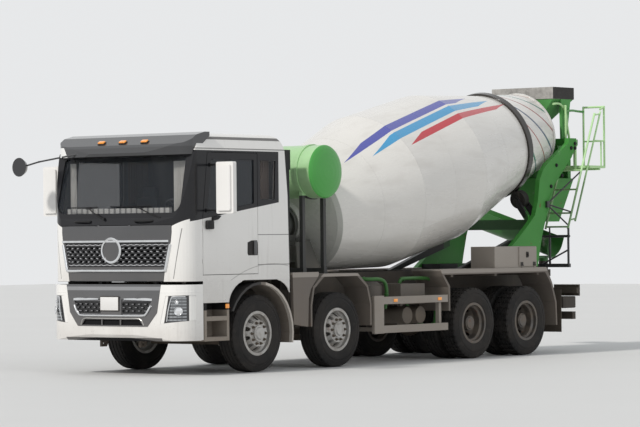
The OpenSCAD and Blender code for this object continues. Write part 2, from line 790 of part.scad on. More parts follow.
module cab_interior() {
    wheel_r = 225;
    color([0.2, 0.2, 0.21]) {
        seat(560, 640);
        seat(560, -640);
        // dashboard across the cab and the engine tunnel between the seats
        side_plate(-cab_y + cab_wall + 90, cab_y - cab_wall - 90)
            polygon([[1180, 1900], [1120, 2060], [1200, 2170], [1400, 2190], [firewall_x, 2150],
                     [firewall_x, 1700], [1300, 1700]]);
        block([-300, -330, cab_floor_z + cab_wall], [1300, 330, 1560]);
        // steering wheel and its column
        bar([1200, 640, 2020], [988, 640, 2242], 60);
        translate([985, 640, 2245]) rotate([0, -43, 0]) {
            rotate_extrude($fn = 48) translate([wheel_r, 0]) circle(r = 15, $fn = 16);
            for (a = [90, 210, 330]) rotate([0, 0, a]) block([0, -18, -8], [wheel_r, 18, 8]);
            cylinder(r = 60, h = 20, center = true);
        }
    }
}

module front_lid() {
    color([0.3, 0.3, 0.31])
    difference() {
        union() {
            intersection() {
                front_plate(cab_front - 250, cab_front + 100) lid_outline();
                cab_form(0);
            }
            lid_knuckle(-30, 0, lid_hinge_r);
        }
        behind_lid(lid_t);
        front_plate(cab_front - 250, cab_front + 100)
            trapezoid(grille_top_w, grille_low_w, grille_z[0], grille_z[1]);
        lid_knuckle(-0.01, 35, lid_hinge_r + 5);
    }
}

// Flat mesh of staggered six-sided cells inside a trapezoid
cell = [108, 46];
cell_bar = [26, 15];
module cell_mesh(top_w, low_w, z0, z1, rim_w) {
    hy = (cell[0] - cell_bar[0]) / 2;
    hz = (cell[1] - cell_bar[1]) / 2;
    rows = floor((z1 - z0 - 2 * rim_w) / cell[1]);
    start = (z0 + z1) / 2 - rows * cell[1] / 2 + cell[1] / 2;
    difference() {
        trapezoid(top_w, low_w, z0, z1);
        intersection() {
            trapezoid(top_w - rim_w, low_w - rim_w, z0 + rim_w / 2, z1 - rim_w / 2);
            union() for (row = [0:rows - 1]) {
                z = start + row * cell[1];
                shift = row % 2 == 0 ? 0 : cell[0] / 2;
                for (y = [-10 * cell[0]:cell[0]:10 * cell[0]])
                    translate([y + shift, z]) polygon([[-hy, 0], [-hy + 12, hz], [hy - 12, hz], [hy, 0],
                                                       [hy - 12, -hz], [-hy + 12, -hz]]);
            }
        }
    }
}

module grille() {
    color([0.08, 0.08, 0.08])
    difference() {
        intersection() {
            front_plate(cab_front - 250, cab_front + 100)
                cell_mesh(grille_top_w, grille_low_w, grille_z[0], grille_z[1], 30);
            cab_form(12);
        }
        cab_form(lid_t - 14);
    }
}

module door(side) {
    color([0.9, 0.9, 0.89])
    mirror([0, side > 0 ? 0 : 1, 0]) difference() {
        union() {
            difference() {
                side_plate(cab_y - door_t, cab_y) door_outline();
                side_plate(cab_y - door_t - 5, cab_y + 5) door_window();
                side_plate(cab_y - door_t - 5, cab_y - rebate) offset(delta = rebate) door_window();
                for (z = door_hinge_z) hinge_pocket(z + hinge_h / 2);
            }
            for (z = door_hinge_z)
                translate([door_axis_x, cab_y, z - hinge_h / 2])
                    cylinder(r = hinge_r, h = hinge_h, $fn = 32);
        }
        side_plate(cab_y - 1, cab_y + 1) polygon([[160, 1900], [280, 1900], [280, 1990], [160, 1990]]);
    }
}

module door_glass(side) {
    color([0.35, 0.4, 0.42, 0.5])
    mirror([0, side > 0 ? 0 : 1, 0])
        side_plate(cab_y - rebate - glass_t, cab_y - rebate) offset(delta = rebate - 1) door_window();
}

// Door mirror: tall housing on two arms from the door's front edge
module door_mirror(side) {
    color([0.9, 0.9, 0.89])
    mirror([0, side > 0 ? 0 : 1, 0]) {
        for (z = [2240, 2860]) {
            foot_x = z > 2500 ? 1060 : 1140;
            block([foot_x - 30, cab_y, z - 26], [foot_x + 30, cab_y + 16, z + 26]);
            bar([foot_x, cab_y + 10, z], [1150, mirror_reach - 240, z], 28);
        }
        hull() for (z = [2220, 2870], y = [mirror_reach - 275, mirror_reach - 25])
            translate([1120, y, z]) rotate([0, 90, 0]) cylinder(r = 25, h = 70, $fn = 24);
        hull() for (z = [2260, 2830], y = [mirror_reach - 240, mirror_reach - 60])
            translate([1120, y, z]) rotate([0, 90, 0]) cylinder(r = 25, h = 100, $fn = 24);
    }
}

// Under and behind the cab

module steps() {
    y_in = cab_y - 330;
    color([0.14, 0.14, 0.14])
    both_sides() {
        difference() {
            block([690, y_in, 465], [1215, cab_y - 5, cab_floor_z - 10]);
            // two open footholds
            block([740, y_in + 60, 520], [1165, cab_y + 10, 740]);
            block([740, y_in + 60, 800], [1165, cab_y + 10, 1010]);
        }
        // bracket to the frame
        block([850, frame_y, 900], [950, y_in + 1, 1000]);
    }
}

// Band round a front wheel, wide enough for the steered tyre
function guard_arc(r0, r1, a0, a1, n) = concat(arc(0, 0, r0, a0, a1, n), arc(0, 0, r1, a1, a0, n));
module front_mudguards() {
    inner = tyre_r + 140;
    color([0.3, 0.29, 0.28])
    both_sides() translate([0, 0, tyre_r]) {
        difference() {
            side_plate(cab_y - 420, cab_y) polygon(guard_arc(inner, inner + 35, 28, 192, 14));
            block([-800, cab_y - 430, cab_floor_z - 12 - tyre_r], [800, cab_y + 10, 2000]);
        }
        block([-60, frame_y, 640], [60, cab_y - 410, 680]);
        block([-60, frame_y, 480], [60, frame_y + 40, 641]);
    }
}

module fender_band(x, outer) {
    translate([x, 0, 0]) difference() {
        polygon(outer);
        offset(delta = -35) polygon(outer);
        translate([-2000, -10]) square([4000, 10 + outer[0][1] + 36]);
    }
}

// Fender shapes: outline of axle 2's and of the pair over axles 3 and 4, round each axle's place
module fenders() {
    x2 = axle_x[1];
    x3 = axle_x[2];
    x4 = axle_x[3];
    color([0.44, 0.41, 0.39])
    both_sides() {
        side_plate(cab_y - 430, cab_y) polygon([
            [x2 + 700, 600], [x2 + 700, 900], [x2 + 640, 1160], [x2 + 400, 1340], [x2 - 400, 1340],
            [x2 - 640, 1160], [x2 - 720, 900], [x2 - 720, 580], [x2 - 685, 580], [x2 - 685, 890],
            [x2 - 610, 1135], [x2 - 385, 1300], [x2 + 385, 1300], [x2 + 610, 1135], [x2 + 665, 890],
            [x2 + 665, 600]]);
        side_plate(cab_y - 550, cab_y) polygon([
            [x3 + 790, 1360], [x3 + 790, 1280], [x3 + 640, 1110], [x3 + 640, 740], [x3 + 680, 740],
            [x3 + 680, 1095], [x3 + 820, 1255], [x3 + 870, 1360]]);
        side_plate(cab_y - 550, cab_y)
            polygon([[x4 - 510, 1280], [x3 + 790, 1280], [x3 + 790, 1360], [x4 - 540, 1360]]);
        side_plate(cab_y - 550, cab_y) polygon([
            [x4 - 510, 1281], [x4 - 665, 1095], [x4 - 780, 800], [x4 - 800, 445], [x4 - 835, 445],
            [x4 - 820, 810], [x4 - 700, 1115], [x4 - 540, 1359]]);
        // panel between axles 1 and 2
        side_plate(cab_y - 45, cab_y)
            polygon([[-720, 640], [-1040, 600], [-1060, 1000], [-1110, 1130], [-1290, 1320], [-1290, 1370],
                     [-700, 1370]]);
        block([-960, frame_y - 60, 1230], [-920, cab_y - 44, 1270]);
        block([-960, frame_y - 60, rail_top_z], [-920, frame_y, 1231]);
        // brackets to the frame
        for (x = [x2 - 300, x2 + 300]) block([x - 30, frame_y - 5, 1295], [x + 30, cab_y - 100, 1325]);
        for (x = [x3 + 450, (x3 + x4) / 2, x4 - 450])
            block([x - 30, frame_y - 5, 1240], [x + 30, cab_y - 100, 1281]);
    }
}

guard_front = -2590;
guard_rear = -4410;
module side_guards() {
    color([0.44, 0.41, 0.39])
    both_sides() {
        block([guard_front - 230, cab_y - 45, 450], [guard_front, cab_y, 1000]);
        for (z = [455, 875]) block([guard_rear, cab_y - 40, z], [guard_front - 225, cab_y, z + 108]);
        for (x = [guard_front - 110, guard_rear + 150])
            difference() {
                block([x - 30, frame_y, 480], [x + 30, cab_y - 39, 980]);
                block([x - 31, frame_y + 60, 540], [x + 31, cab_y - 100, 920]);
            }
    }
}

// Tanks and boxes between axles 2 and 3: fuel on the right, air, battery and oil on the left
module side_tanks() {
    color([0.33, 0.32, 0.3]) {
        // fuel tank
        hull() for (y = [-1120, -640], z = [560, 960])
            translate([-2880, y, z]) rotate([0, -90, 0]) cylinder(r = 70, h = 1000, $fn = 24);
        // air tanks with their ends facing outward
        for (x = [-3690, -4020]) y_rod(x, 690, 480, 1020, 125);
        // battery box
        block([-4050, 480, 860], [-3450, 1080, 1160]);
        // hydraulic oil tank
        translate([-3010, 860, 560]) cylinder(r = 165, h = 580);
        translate([-3010, 860, 1140]) cylinder(r1 = 165, r2 = 90, h = 60);
        // carriers under the tanks and out to the rails
        for (x = [-3690, -4020]) block([x - 30, frame_y, 700], [x + 30, 500, 880]);
        block([-3060, frame_y, 820], [-2960, 720, 920]);
        for (x = [-3050, -3650]) block([x - 30, -580, 850], [x + 30, -frame_y, 920]);
    }
}

// Water tank across the truck behind the cab
module water_tank() {
    dome = 70;
    color([0.35, 0.62, 0.3])
    translate([-tank_back, 0, tank_z]) rotate([90, 0, 0])
        rotate_extrude($fn = 96)
            polygon(concat([[0, -tank_half - dome]],
                [for (i = [1:6]) let (a = 90 * i / 6)
                    [tank_r * sin(a), -tank_half - dome * cos(a)]],
                [for (i = [6:-1:1]) let (a = 90 * i / 6)
                    [tank_r * sin(a), tank_half + dome * cos(a)]],
                [[0, tank_half + dome]]));
}

// Posts, saddles and straps that hold the water tank
module tank_stand() {
    strap_w = 50;
    color([0.75, 0.75, 0.7])
    for (y = [-900, 900]) {
        translate([-tank_back, y + strap_w / 2, tank_z]) rotate([90, 0, 0]) difference() {
            cylinder(r = tank_r + 14, h = strap_w);
            translate([0, 0, -1]) cylinder(r = tank_r + seat_gap, h = strap_w + 2);
        }
        for (x = [-tank_back - 240, -tank_back + 240])
            difference() {
                block([x - 30, y - 30, subframe_top_z + 79], [x + 30, y + 30, tank_z - 100]);
                y_rod(-tank_back, tank_z, y - 100, y + 100, tank_r + 10);
            }
    }
    color([0.75, 0.75, 0.7]) for (x = [-tank_back - 240, -tank_back + 240])
        block([x - 40, -940, subframe_top_z], [x + 40, 940, subframe_top_z + 80]);
}

// Drum: a frame along its axis, origin in the middle of the front rim

module along_drum() {
    translate([-drum_front_back, 0, drum_front_z]) rotate([0, drum_tilt - 90, 0]) children();
}

track_low = track_at - track_w / 2;
track_high = track_at + track_w / 2;
track_seat_r = 835;
head_depth = 250;
flange_r = 290;
flange_at = -360;
stub_r = 120;

// Outer and inner outline of the shell, radius and place along the axis
function drum_outer() = [
    [flange_r, flange_at], [flange_r, -head_depth], [560, -150], [drum_front_r - 60, -50],
    [drum_front_r, 0], [drum_r, drum_front_len], [drum_r, drum_front_len + drum_mid_len],
    [track_seat_r, track_low], [track_r, track_low], [track_r, track_high], [track_seat_r - 12, track_high],
    [mouth_r, mouth_at - 40], [mouth_r + 14, mouth_at - 40], [mouth_r + 14, mouth_at]];
function drum_inner() = [
    [mouth_r - drum_t, mouth_at], [mouth_r - drum_t, mouth_at - 45],
    [track_seat_r - 12 - drum_t, track_high], [track_seat_r - drum_t, track_low],
    [drum_r - drum_t, drum_front_len + drum_mid_len],
    [drum_r - drum_t, drum_front_len], [drum_front_r - drum_t, 4], [560, -138],
    [flange_r - 20, -head_depth + 12], [0, -head_depth + 12]];

module drum() {
    color([0.9, 0.89, 0.85])
    along_drum() difference() {
        rotate_extrude($fn = 128) polygon(concat([[0, flange_at]], drum_outer(), drum_inner()));
        translate([0, 0, flange_at - 1]) cylinder(r = stub_r + fit_gap, h = 60);
    }
}

// A drum roller with its shaft, at the given side
roller_dist = track_r + roller_r + seat_gap;
roller_w = 120;
roller_shaft_r = 35;
module at_roller(side) {
    along_drum() rotate([0, 0, 180 - side * roller_angle])
        translate([roller_dist, 0, track_at]) children();
}

module roller(side) {
    color([0.25, 0.24, 0.23])
    at_roller(side) {
        translate([0, 0, -roller_w / 2]) cylinder(r = roller_r, h = roller_w);
        translate([0, 0, -roller_w / 2 - 70]) cylinder(r = roller_shaft_r, h = roller_w + 140, $fn = 32);
    }
}

// Front pedestal with the drum's gearbox and hydraulic motor
module front_pedestal() {
    color([0.2, 0.42, 0.22]) {
        both_sides() side_plate(frame_y - 85, frame_y - 45)
            polygon([[-1900, subframe_top_z], [-2480, subframe_top_z], [-2180, 1830], [-1860, 1790]]);
        block([-2130, -frame_y + 50, 1740], [-1850, frame_y - 50, 1790]);
        block([-2380, -frame_y + 50, subframe_top_z], [-2330, frame_y - 50, 1500]);
    }
    color([0.18, 0.18, 0.18])
    along_drum() {
        translate([0, 0, flange_at - seat_gap - 60]) cylinder(r = 270, h = 60);
        translate([0, 0, flange_at - seat_gap - 1]) cylinder(r = stub_r, h = 56);
        translate([0, 0, flange_at - 300]) cylinder(r = 230, h = 250);
        translate([0, 0, flange_at - 520]) cylinder(r = 110, h = 240);
    }
    color([0.18, 0.18, 0.18]) block([-2066, -200, 1789], [-1880, 200, 1900]);
}

// Rear pedestal: curved side boxes, cross boxes, roller bearings and the long braces
pedestal_low_z = 1365;
pedestal_top_z = 3420;
bracket_y = 440;
bracket_t = 40;
function pedestal_outline() = [
    [-6280, pedestal_low_z], [-6900, 1770], [-7260, 2030], [-7440, 2180], [-7520, 2400], [-7580, 2740],
    [-7670, 2890], [-7810, 3010], [-8410, 3340], [-8430, pedestal_top_z], [-8640, pedestal_top_z],
    [-8640, 3300], [-8500, 3110], [-8280, 2910], [-7980, 2650], [-7830, 2380], [-7770, 2180], [-7640, 1870],
    [-7560, 1600], [-7500, pedestal_low_z]];

module rear_pedestal() {
    axis_low = roller_dist + 60;
    color([0.2, 0.48, 0.22]) {
        both_sides() {
            side_plate(pedestal_y, pedestal_y + pedestal_t) polygon(pedestal_outline());
            // brace down to the subframe
            side_plate(pedestal_y - 90, pedestal_y - 10)
                polygon([[-5450, subframe_top_z], [-5700, subframe_top_z], [-7050, 1700], [-7050, 1790],
                         [-6900, 1790]]);
            // feet out from the subframe
            block([-7450, frame_y - 85, subframe_top_z], [-6400, pedestal_y - 10, subframe_top_z + 80]);
            block([-7450, pedestal_y - 60, pedestal_low_z - 3],
                  [-6400, pedestal_y + 15, pedestal_low_z + 25]);
            block([-7050, pedestal_y - 11, 1700], [-6960, pedestal_y + 1, 1780]);
            block([-5700, frame_y - 5, subframe_top_z - 50], [-5460, pedestal_y - 10, subframe_top_z + 1]);
        }
        for (c = [[-7640, -7480, 1950, 2110], [-8640, -8500, 3310, pedestal_top_z]])
            block([c[0], -pedestal_y - 1, c[2]], [c[1], pedestal_y + 1, c[3]]);
        // rear brackets with their round holes
        both_sides() difference() {
            side_plate(bracket_y - bracket_t, bracket_y)
                polygon([[-8501, pedestal_top_z], [-9200, pedestal_top_z], [-9200, 3330], [-8830, 2970],
                         [-8700, 2965], [-8600, 3310], [-8501, 3310]]);
            for (h = [[-8740, 3280], [-8900, 3280], [-9050, 3340]])
                y_rod(h[0], h[1], bracket_y - bracket_t - 1, bracket_y + 1, 32);
        }
        block([-9200, -bracket_y, 3340], [-9120, bracket_y, pedestal_top_z]);
        // roller bearings on the cross box
        for (side = [-1, 1]) intersection() {
            at_roller(side) for (s = [-1, 1]) difference() {
                union() {
                    translate([0, 0, s * (roller_w / 2 + 40) - 20]) cylinder(r = 60, h = 40);
                    translate([0, -50, s * (roller_w / 2 + 40) - 20]) cube([600, 100, 40]);
                }
                translate([0, 0, s * (roller_w / 2 + 40) - 21])
                    cylinder(r = roller_shaft_r + fit_gap, h = 42, $fn = 32);
            }
            block([-7800, -pedestal_y, 2109], [-7000, pedestal_y, 2700]);
        }
    }
}

// Hopper: a grey rim over a funnel whose spout reaches into the drum's mouth
rim_low_z = 4060;
throat_z = 3740;
hopper_t = 10;
// Low and high corner of a level or upright frame in the funnel
module funnel_frame(low, high, grow) {
    block([low[0] - grow, low[1] - grow, low[2]], [high[0] + grow, high[1] + grow, high[2]]);
}

module funnel(grow) {
    hull() {
        funnel_frame([-8840, -hopper_half_w + 20, rim_low_z],
                     [-8270, hopper_half_w - 20, rim_low_z + 1], grow);
        funnel_frame([-8640, -300, throat_z], [-8320, 300, throat_z + 1], grow);
    }
}

module spout(grow) {
    hull() {
        funnel_frame([-8640, -300, throat_z], [-8320, 300, throat_z + 1], grow);
        block([-8010, -240 - grow, 3440 - grow], [-8009, 240 + grow, 3620 + grow]);
    }
}

module hopper() {
    y = hopper_half_w;
    color([0.45, 0.44, 0.42]) difference() {
        block([-8860, -y, rim_low_z], [-8250, y, hopper_top_z]);
        block([-8840, -y + 20, rim_low_z - 1], [-8270, y - 20, hopper_top_z + 1]);
    }
    color([0.3, 0.6, 0.3]) {
        difference() {
            union() {
                funnel(hopper_t);
                spout(hopper_t);
            }
            funnel(0);
            spout(0);
            block([-8840, -y + 20, rim_low_z - 2], [-8270, y - 20, rim_low_z + 10]);
            block([-8009.5, -240, 3440], [-7990, 240, 3620]);
        }
        // hangers from the rim to the pedestal's top cross box
        both_sides() side_plate(y - 40, y)
            polygon([[-8638, pedestal_top_z], [-8502, pedestal_top_z], [-8480, rim_low_z],
                     [-8760, rim_low_z]]);
    }
}

// Collecting chute under the mouth: three walls that narrow to the outlet over the swinging chute
module catch_form(grow) {
    hull() {
        block([-9030 - grow, -450 - grow, 2779], [-8290 + grow, 450 + grow, 2780]);
        block([-8980 - grow, -190 - grow, 2080], [-8640 + grow, 190 + grow, 2081]);
    }
}

module collecting_chute() {
    apron_t = 10;
    color([0.2, 0.48, 0.22]) {
        difference() {
            catch_form(hopper_t);
            catch_form(0);
            block([-8980, -190, 2070], [-8640, 190, 2090]);
            block([-9030, -450, 2770], [-8290, 450, 2790]);
        }
        // apron behind the stream, up between the rear brackets
        block([-9040, -bracket_y + bracket_t, 2779], [-9030, bracket_y - bracket_t, 3345]);
        both_sides() block([-9045, bracket_y - bracket_t - apron_t, 2770],
                           [-8960, bracket_y - bracket_t + 1, 3200]);
    }
}

// Platform behind the ladder with its guard rails
floor_t = 40;
floor_front = -8660;
module platform() {
    tube = rail_tube_d;
    x1 = -rear_reach + tube / 2;
    x0 = floor_front;
    outer = platform_y - tube / 2;
    inner = platform_in + tube / 2;
    top = platform_z + guard_h;
    knee = platform_z + guard_h * 0.42;
    color([0.45, 0.72, 0.4]) {
        difference() {
            block([x1, platform_in, platform_z - floor_t], [x0, platform_y, platform_z]);
            for (x = [x1 + 50:90:x0 - 80])
                block([x, platform_in + 40, platform_z - floor_t - 1],
                      [x + 60, platform_y - 52, platform_z + 1]);
            // notch round the ladder's handrail
            block([-8745, platform_y - 46, platform_z - floor_t - 1],
                  [x0 + 1, platform_y + 1, platform_z + 1]);
        }
        // rear hoop, side rail forward to the ladder's stiles, and the knee rails
        for (y = [inner, outer]) bar([x1, y, platform_z - 20], [x1, y, top], tube);
        bar([x1, inner, top], [x1, outer, top], tube);
        bar([x1, outer, top], [ladder_high[0] - handrail_back, outer, top - 46], tube);
        bar([x1, inner, knee], [x1, outer, knee], tube - 8);
        bar([x1, outer, knee], [stile_x(knee) - handrail_back - 24, outer, knee], tube - 8);
        bar([-9110, outer, platform_z - 20], [-9110, outer, knee], tube - 8);
        // front hoop from the inner post over to the hopper, with its brace to the bracket
        bar([-8535, 650, pedestal_top_z], [-8535, 650, top], tube);
        bar([-8535, 650, top], [-8535, hopper_half_w, top], tube - 2);
        for (p = [[x1, outer, top], [x1, inner, top], [-8535, 650, top]])
            translate(p) sphere(d = tube + 6, $fn = 24);
        // bearers to the rear bracket and a strap from the arm's end
        for (x = [-8790, -9150])
            block([x, bracket_y, platform_z - floor_t - 30],
                  [x + 50, platform_y - 60, platform_z - floor_t]);
        block([-9150, bracket_y, platform_z - floor_t - 30], [-9100, bracket_y + 10, 3400]);
        block([-8680, pedestal_y + 20, platform_z - floor_t - 20], [-8640, pedestal_y + 60, 3410]);
    }
}

// Ladder: stiles that lean back as they rise, with a hand rail behind the outer one
ladder_low = [-8130, 1995];
ladder_high = [-8930, 3830];
ladder_y = [520, 950];
handrail_back = 160;
rung_z = [2210, 2590, 2900];
foot_z = 1840;
base_z = 1400;
ladder_lean = (ladder_high[0] - ladder_low[0]) / (ladder_high[1] - ladder_low[1]);
function stile_x(z) = ladder_low[0] + ladder_lean * (z - ladder_low[1]);
module ladder() {
    tube = rail_tube_d;
    outer = ladder_y[1];
    inner = ladder_y[0];
    color([0.45, 0.72, 0.4]) {
        bar([stile_x(1960), outer, 1960], [ladder_high[0], outer, ladder_high[1]], tube);
        bar([stile_x(1960), inner, 1960], [stile_x(2925), inner, 2925], tube);
        bar([stile_x(2080) - handrail_back, outer, 2080],
            [stile_x(3860) - handrail_back, outer, 3860], tube - 4);
        for (z = [2100, 3800])
            bar([stile_x(z), outer, z], [stile_x(z) - handrail_back, outer, z + 20], tube - 8);
        for (z = rung_z) bar([stile_x(z), inner, z], [stile_x(z), outer, z], tube - 6);
        bar([stile_x(1990), inner, 1990], [stile_x(1990), outer, 1990], tube - 6);
    }
    // legs, cross bars and braces in black
    color([0.1, 0.1, 0.1]) {
        for (y = [590, outer - 4])
            bar([ladder_low[0], y, base_z - 10], [ladder_low[0], y, foot_z + 12], tube + 3);
        bar([ladder_low[0], 280, foot_z], [ladder_low[0], outer + 20, foot_z], tube + 8);
        bar([ladder_low[0] - 3, outer - 2, foot_z], [stile_x(2000), outer - 2, 2000], tube + 2);
        bar([ladder_low[0] - 5, 590, foot_z], [stile_x(1985), 590, 1985], tube - 8);
        bar([ladder_low[0] + 2, outer - 6, 1620], [ladder_low[0] + 2, 440, base_z - 12], tube - 7);
        for (e = [[2012, 2338], [2226, 2350], [2884, 2364]])
            bar([-7766, pedestal_y + pedestal_t + 22, e[1]], [stile_x(e[0]), outer - 3, e[0]], tube - 9);
        block([-7800, pedestal_y + pedestal_t, 2300], [-7730, pedestal_y + pedestal_t + 40, 2400]);
        block([ladder_low[0] - 30, frame_y - 60, base_z - 58], [ladder_low[0] + 30, outer + 20, base_z]);
        block([ladder_low[0] - 30, frame_y - 60, base_z - 58], [-7650, frame_y - 10, base_z]);
    }
}

toolbox_x = [-6800, -5670];
toolbox_z = [1361, 1690];
lid_y = cab_y - 2;
module toolbox() {
    y_in = pedestal_y + pedestal_t;
    color([0.5, 0.46, 0.43]) {
        difference() {
            block([toolbox_x[0], y_in, toolbox_z[0]], [toolbox_x[1], cab_y - 20, toolbox_z[1]]);
            block([toolbox_x[0] + 30, y_in + 30, toolbox_z[0] + 30], [-6330, cab_y, toolbox_z[1] - 30]);
        }
        for (x = [-6730, -6400])
            x_rod(x, 20, cab_y - 12, toolbox_z[0] + 9, 8);
    }
}

// A short cylinder along X
module x_rod(x, len, y, z, r) {
    translate([x - len / 2, y, z]) rotate([0, 90, 0]) cylinder(r = r, h = len, $fn = 24);
}

module toolbox_lid() {
    color([0.5, 0.46, 0.43])
        block([toolbox_x[0] + 12, cab_y - 19.7, toolbox_z[0] + 22], [-6315, cab_y - 4, toolbox_z[1] - 10]);
}

// Cross bar at the tail with the lamp boxes, under-run bar and mud flaps
module rear_bar() {
    x = -frame_back - 60;
    color([0.1, 0.1, 0.1]) {
        block([x - 60, -frame_y + 5, rail_low_z + 10], [x + 60, frame_y - 5, rail_top_z - 10]);
        both_sides() {
            block([x - 30, frame_y - 6, 930], [x + 30, cab_y - 15, 1020]);
            block([x - 60, 760, 890], [x - 20, cab_y - 15, 1070]);
            block([-7480, cab_y - 560, 330], [-7468, cab_y - 10, 1000]);
            block([x, cab_y - 400, 960], [-7469, cab_y - 340, 990]);
            block([x - 25, 560, 620], [x + 25, 620, 940]);
        }
        block([x - 50, -1150, 520], [x + 40, 1150, 640]);
    }
}

// Air intake stack behind the cab, on the left
module air_intake() {
    color([0.12, 0.12, 0.12]) {
        block([-900, 800, 1500], [-690, 1040, 2900]);
        block([-900, 760, 2820], [-690, 1060, 3100]);
        block([-880, frame_y - 60, rail_top_z], [-720, 900, rail_top_z + 70]);
        block([-880, 840, rail_top_z], [-720, 1000, 1510]);
    }
}

// Swinging chute: a yoke turning about a post, and a trough that tilts in the yoke
chute_post = [-8810, 0];
chute_post_z = 1440;
chute_post_r = 45;
chute_tilt_z = 1780;
module chute_post_support() {
    block([-8900, -80, 1190], [-7710, 80, 1300]);
    translate([chute_post[0], 0, 1190]) cylinder(r = 75, h = chute_post_z - seat_gap - 1190);
}

module chute_yoke() {
    color([0.2, 0.48, 0.22])
    translate([chute_post[0], chute_post[1], 0]) {
        difference() {
            union() {
                translate([0, 0, chute_post_z]) cylinder(r = 80, h = 60);
                block([-280, -60, chute_post_z + 44], [280, 60, chute_post_z + 84]);
            }
            translate([0, 0, chute_post_z - 1]) cylinder(r = chute_post_r + fit_gap, h = 51);
        }
        for (s = [-1, 1]) difference() {
            block([s * 265 - 15, -60, chute_post_z + 60], [s * 265 + 15, 60, chute_tilt_z + 50]);
            translate([s * 265 - 30, 0, chute_tilt_z]) rotate([0, 90, 0])
                cylinder(r = 20 + fit_gap, h = 60, $fn = 32);
        }
    }
}

// The trough lies stowed across the rear, towards the right and rising
chute_rise = 18;
module chute() {
    wall = 8;
    color([0.3, 0.6, 0.3])
    translate([chute_post[0], chute_post[1], chute_tilt_z]) {
        rotate([90 - chute_rise, 0, 0]) translate([0, 0, -250]) difference() {
            union() {
                cylinder(r = chute_r + wall, h = chute_len + 250);
                block([-chute_r - wall, 0, 0], [chute_r + wall, 120, chute_len + 250]);
            }
            translate([0, 0, -1]) cylinder(r = chute_r, h = chute_len + 252);
            block([-chute_r, 0, -1], [chute_r, 400, chute_len + 252]);
        }
        for (s = [-1, 1]) translate([s > 0 ? chute_r : -281, 0, 0]) rotate([0, 90, 0])
            cylinder(r = 20, h = 281 - chute_r, $fn = 32);
    }
}

sides = [["left", 1], ["right", -1]];

place() {
    frame_rails();
    color([0.14, 0.13, 0.13]) {
        chute_post_support();
        translate([chute_post[0], 0, 1390]) cylinder(r = chute_post_r, h = chute_post_z + 45 - 1390);
    }
}
place() powertrain();
place() front_axles();
place() rear_axles();
place() bumper();
place() bumper_insert();
place() headlamps();
place() steps();
place() front_mudguards();
place() fenders();
place() side_guards();
place() side_tanks();
place() water_tank();
place() tank_stand();
place() front_pedestal();
place() {
    rear_pedestal();
    collecting_chute();
}
place() hopper();
place() platform();
place() ladder();
place() toolbox();
place() toolbox_lid();
place() rear_bar();
place() air_intake();
place() cab_shell();
place() cab_glass();
place() visor();
place() cab_interior();
place() front_lid();
place() grille();
for (s = sides) {
    place() door(s[1]);
    place() door_glass(s[1]);
    place() door_mirror(s[1]);
    place() roller(s[1]);
    for (i = [0, 1]) {
        place() knuckle(i, s[1]);
        place() rim_steered(i, s[1]);
        place() tyre_steered(i, s[1]);
    }
    for (i = [2, 3]) {
        place() rim_twin(i, s[1]);
        place() tyre_twin(i, s[1]);
    }
}
place() drum();
place() chute_yoke();
place() chute();
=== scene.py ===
import bmesh
import bpy
import math
from mathutils import Matrix, Vector


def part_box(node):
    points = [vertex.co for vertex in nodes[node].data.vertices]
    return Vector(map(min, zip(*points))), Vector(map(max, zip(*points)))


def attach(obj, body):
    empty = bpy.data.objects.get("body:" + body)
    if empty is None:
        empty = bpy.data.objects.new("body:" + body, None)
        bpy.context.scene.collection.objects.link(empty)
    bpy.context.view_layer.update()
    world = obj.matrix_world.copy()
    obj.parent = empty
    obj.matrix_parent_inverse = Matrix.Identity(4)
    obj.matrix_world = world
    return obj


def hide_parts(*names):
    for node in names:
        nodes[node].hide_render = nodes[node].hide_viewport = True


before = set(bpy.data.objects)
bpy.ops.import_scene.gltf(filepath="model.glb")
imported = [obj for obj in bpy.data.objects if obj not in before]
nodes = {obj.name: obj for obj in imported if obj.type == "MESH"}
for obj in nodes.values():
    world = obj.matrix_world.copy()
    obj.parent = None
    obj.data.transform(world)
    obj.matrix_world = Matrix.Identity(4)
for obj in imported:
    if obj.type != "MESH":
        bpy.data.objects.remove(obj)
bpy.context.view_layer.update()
print("frame loaded,", len(nodes), "nodes")

# places below are forward of axle 1, to the left, and above the ground, in metres
lowTyre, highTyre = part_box("tyre_left_1")
axleX = (lowTyre.x + highTyre.x) / 2
sides = (("left", 1), ("right", -1))


def at(x, y, z):
    return Vector((x + axleX, y, z))


def addObject(name, data):
    made = bpy.data.objects.new(name, data)
    bpy.context.scene.collection.objects.link(made)
    return made


# camera
camera = {
    "fromAxle": (32.666, 28.023, 1.868),
    "yaw": -141.775,
    "pitch": 0.438,
    "roll": -0.565,
    "focalPixels": 3047.9,
    "photoWidth": 640,
    "sensor": 36,
    "reach": 500,
}


def makeCamera(c):
    yaw, pitch, roll = (math.radians(c[k]) for k in ("yaw", "pitch", "roll"))
    forward = Vector((math.cos(yaw) * math.cos(pitch), math.sin(yaw) * math.cos(pitch), math.sin(pitch)))
    right = Vector((math.sin(yaw), -math.cos(yaw), 0))
    up = right.cross(forward)
    side = right * math.cos(roll) + up * math.sin(roll)
    top = up * math.cos(roll) - right * math.sin(roll)
    data = bpy.data.cameras.new("photoCamera")
    data.sensor_width = c["sensor"]
    data.lens = c["focalPixels"] / c["photoWidth"] * c["sensor"]
    data.clip_end = c["reach"]
    cam = addObject("photoCamera", data)
    turn = Matrix((side, top, -forward)).transposed().to_4x4()
    cam.matrix_world = Matrix.Translation(at(*c["fromAxle"])) @ turn
    bpy.context.scene.camera = cam


makeCamera(camera)

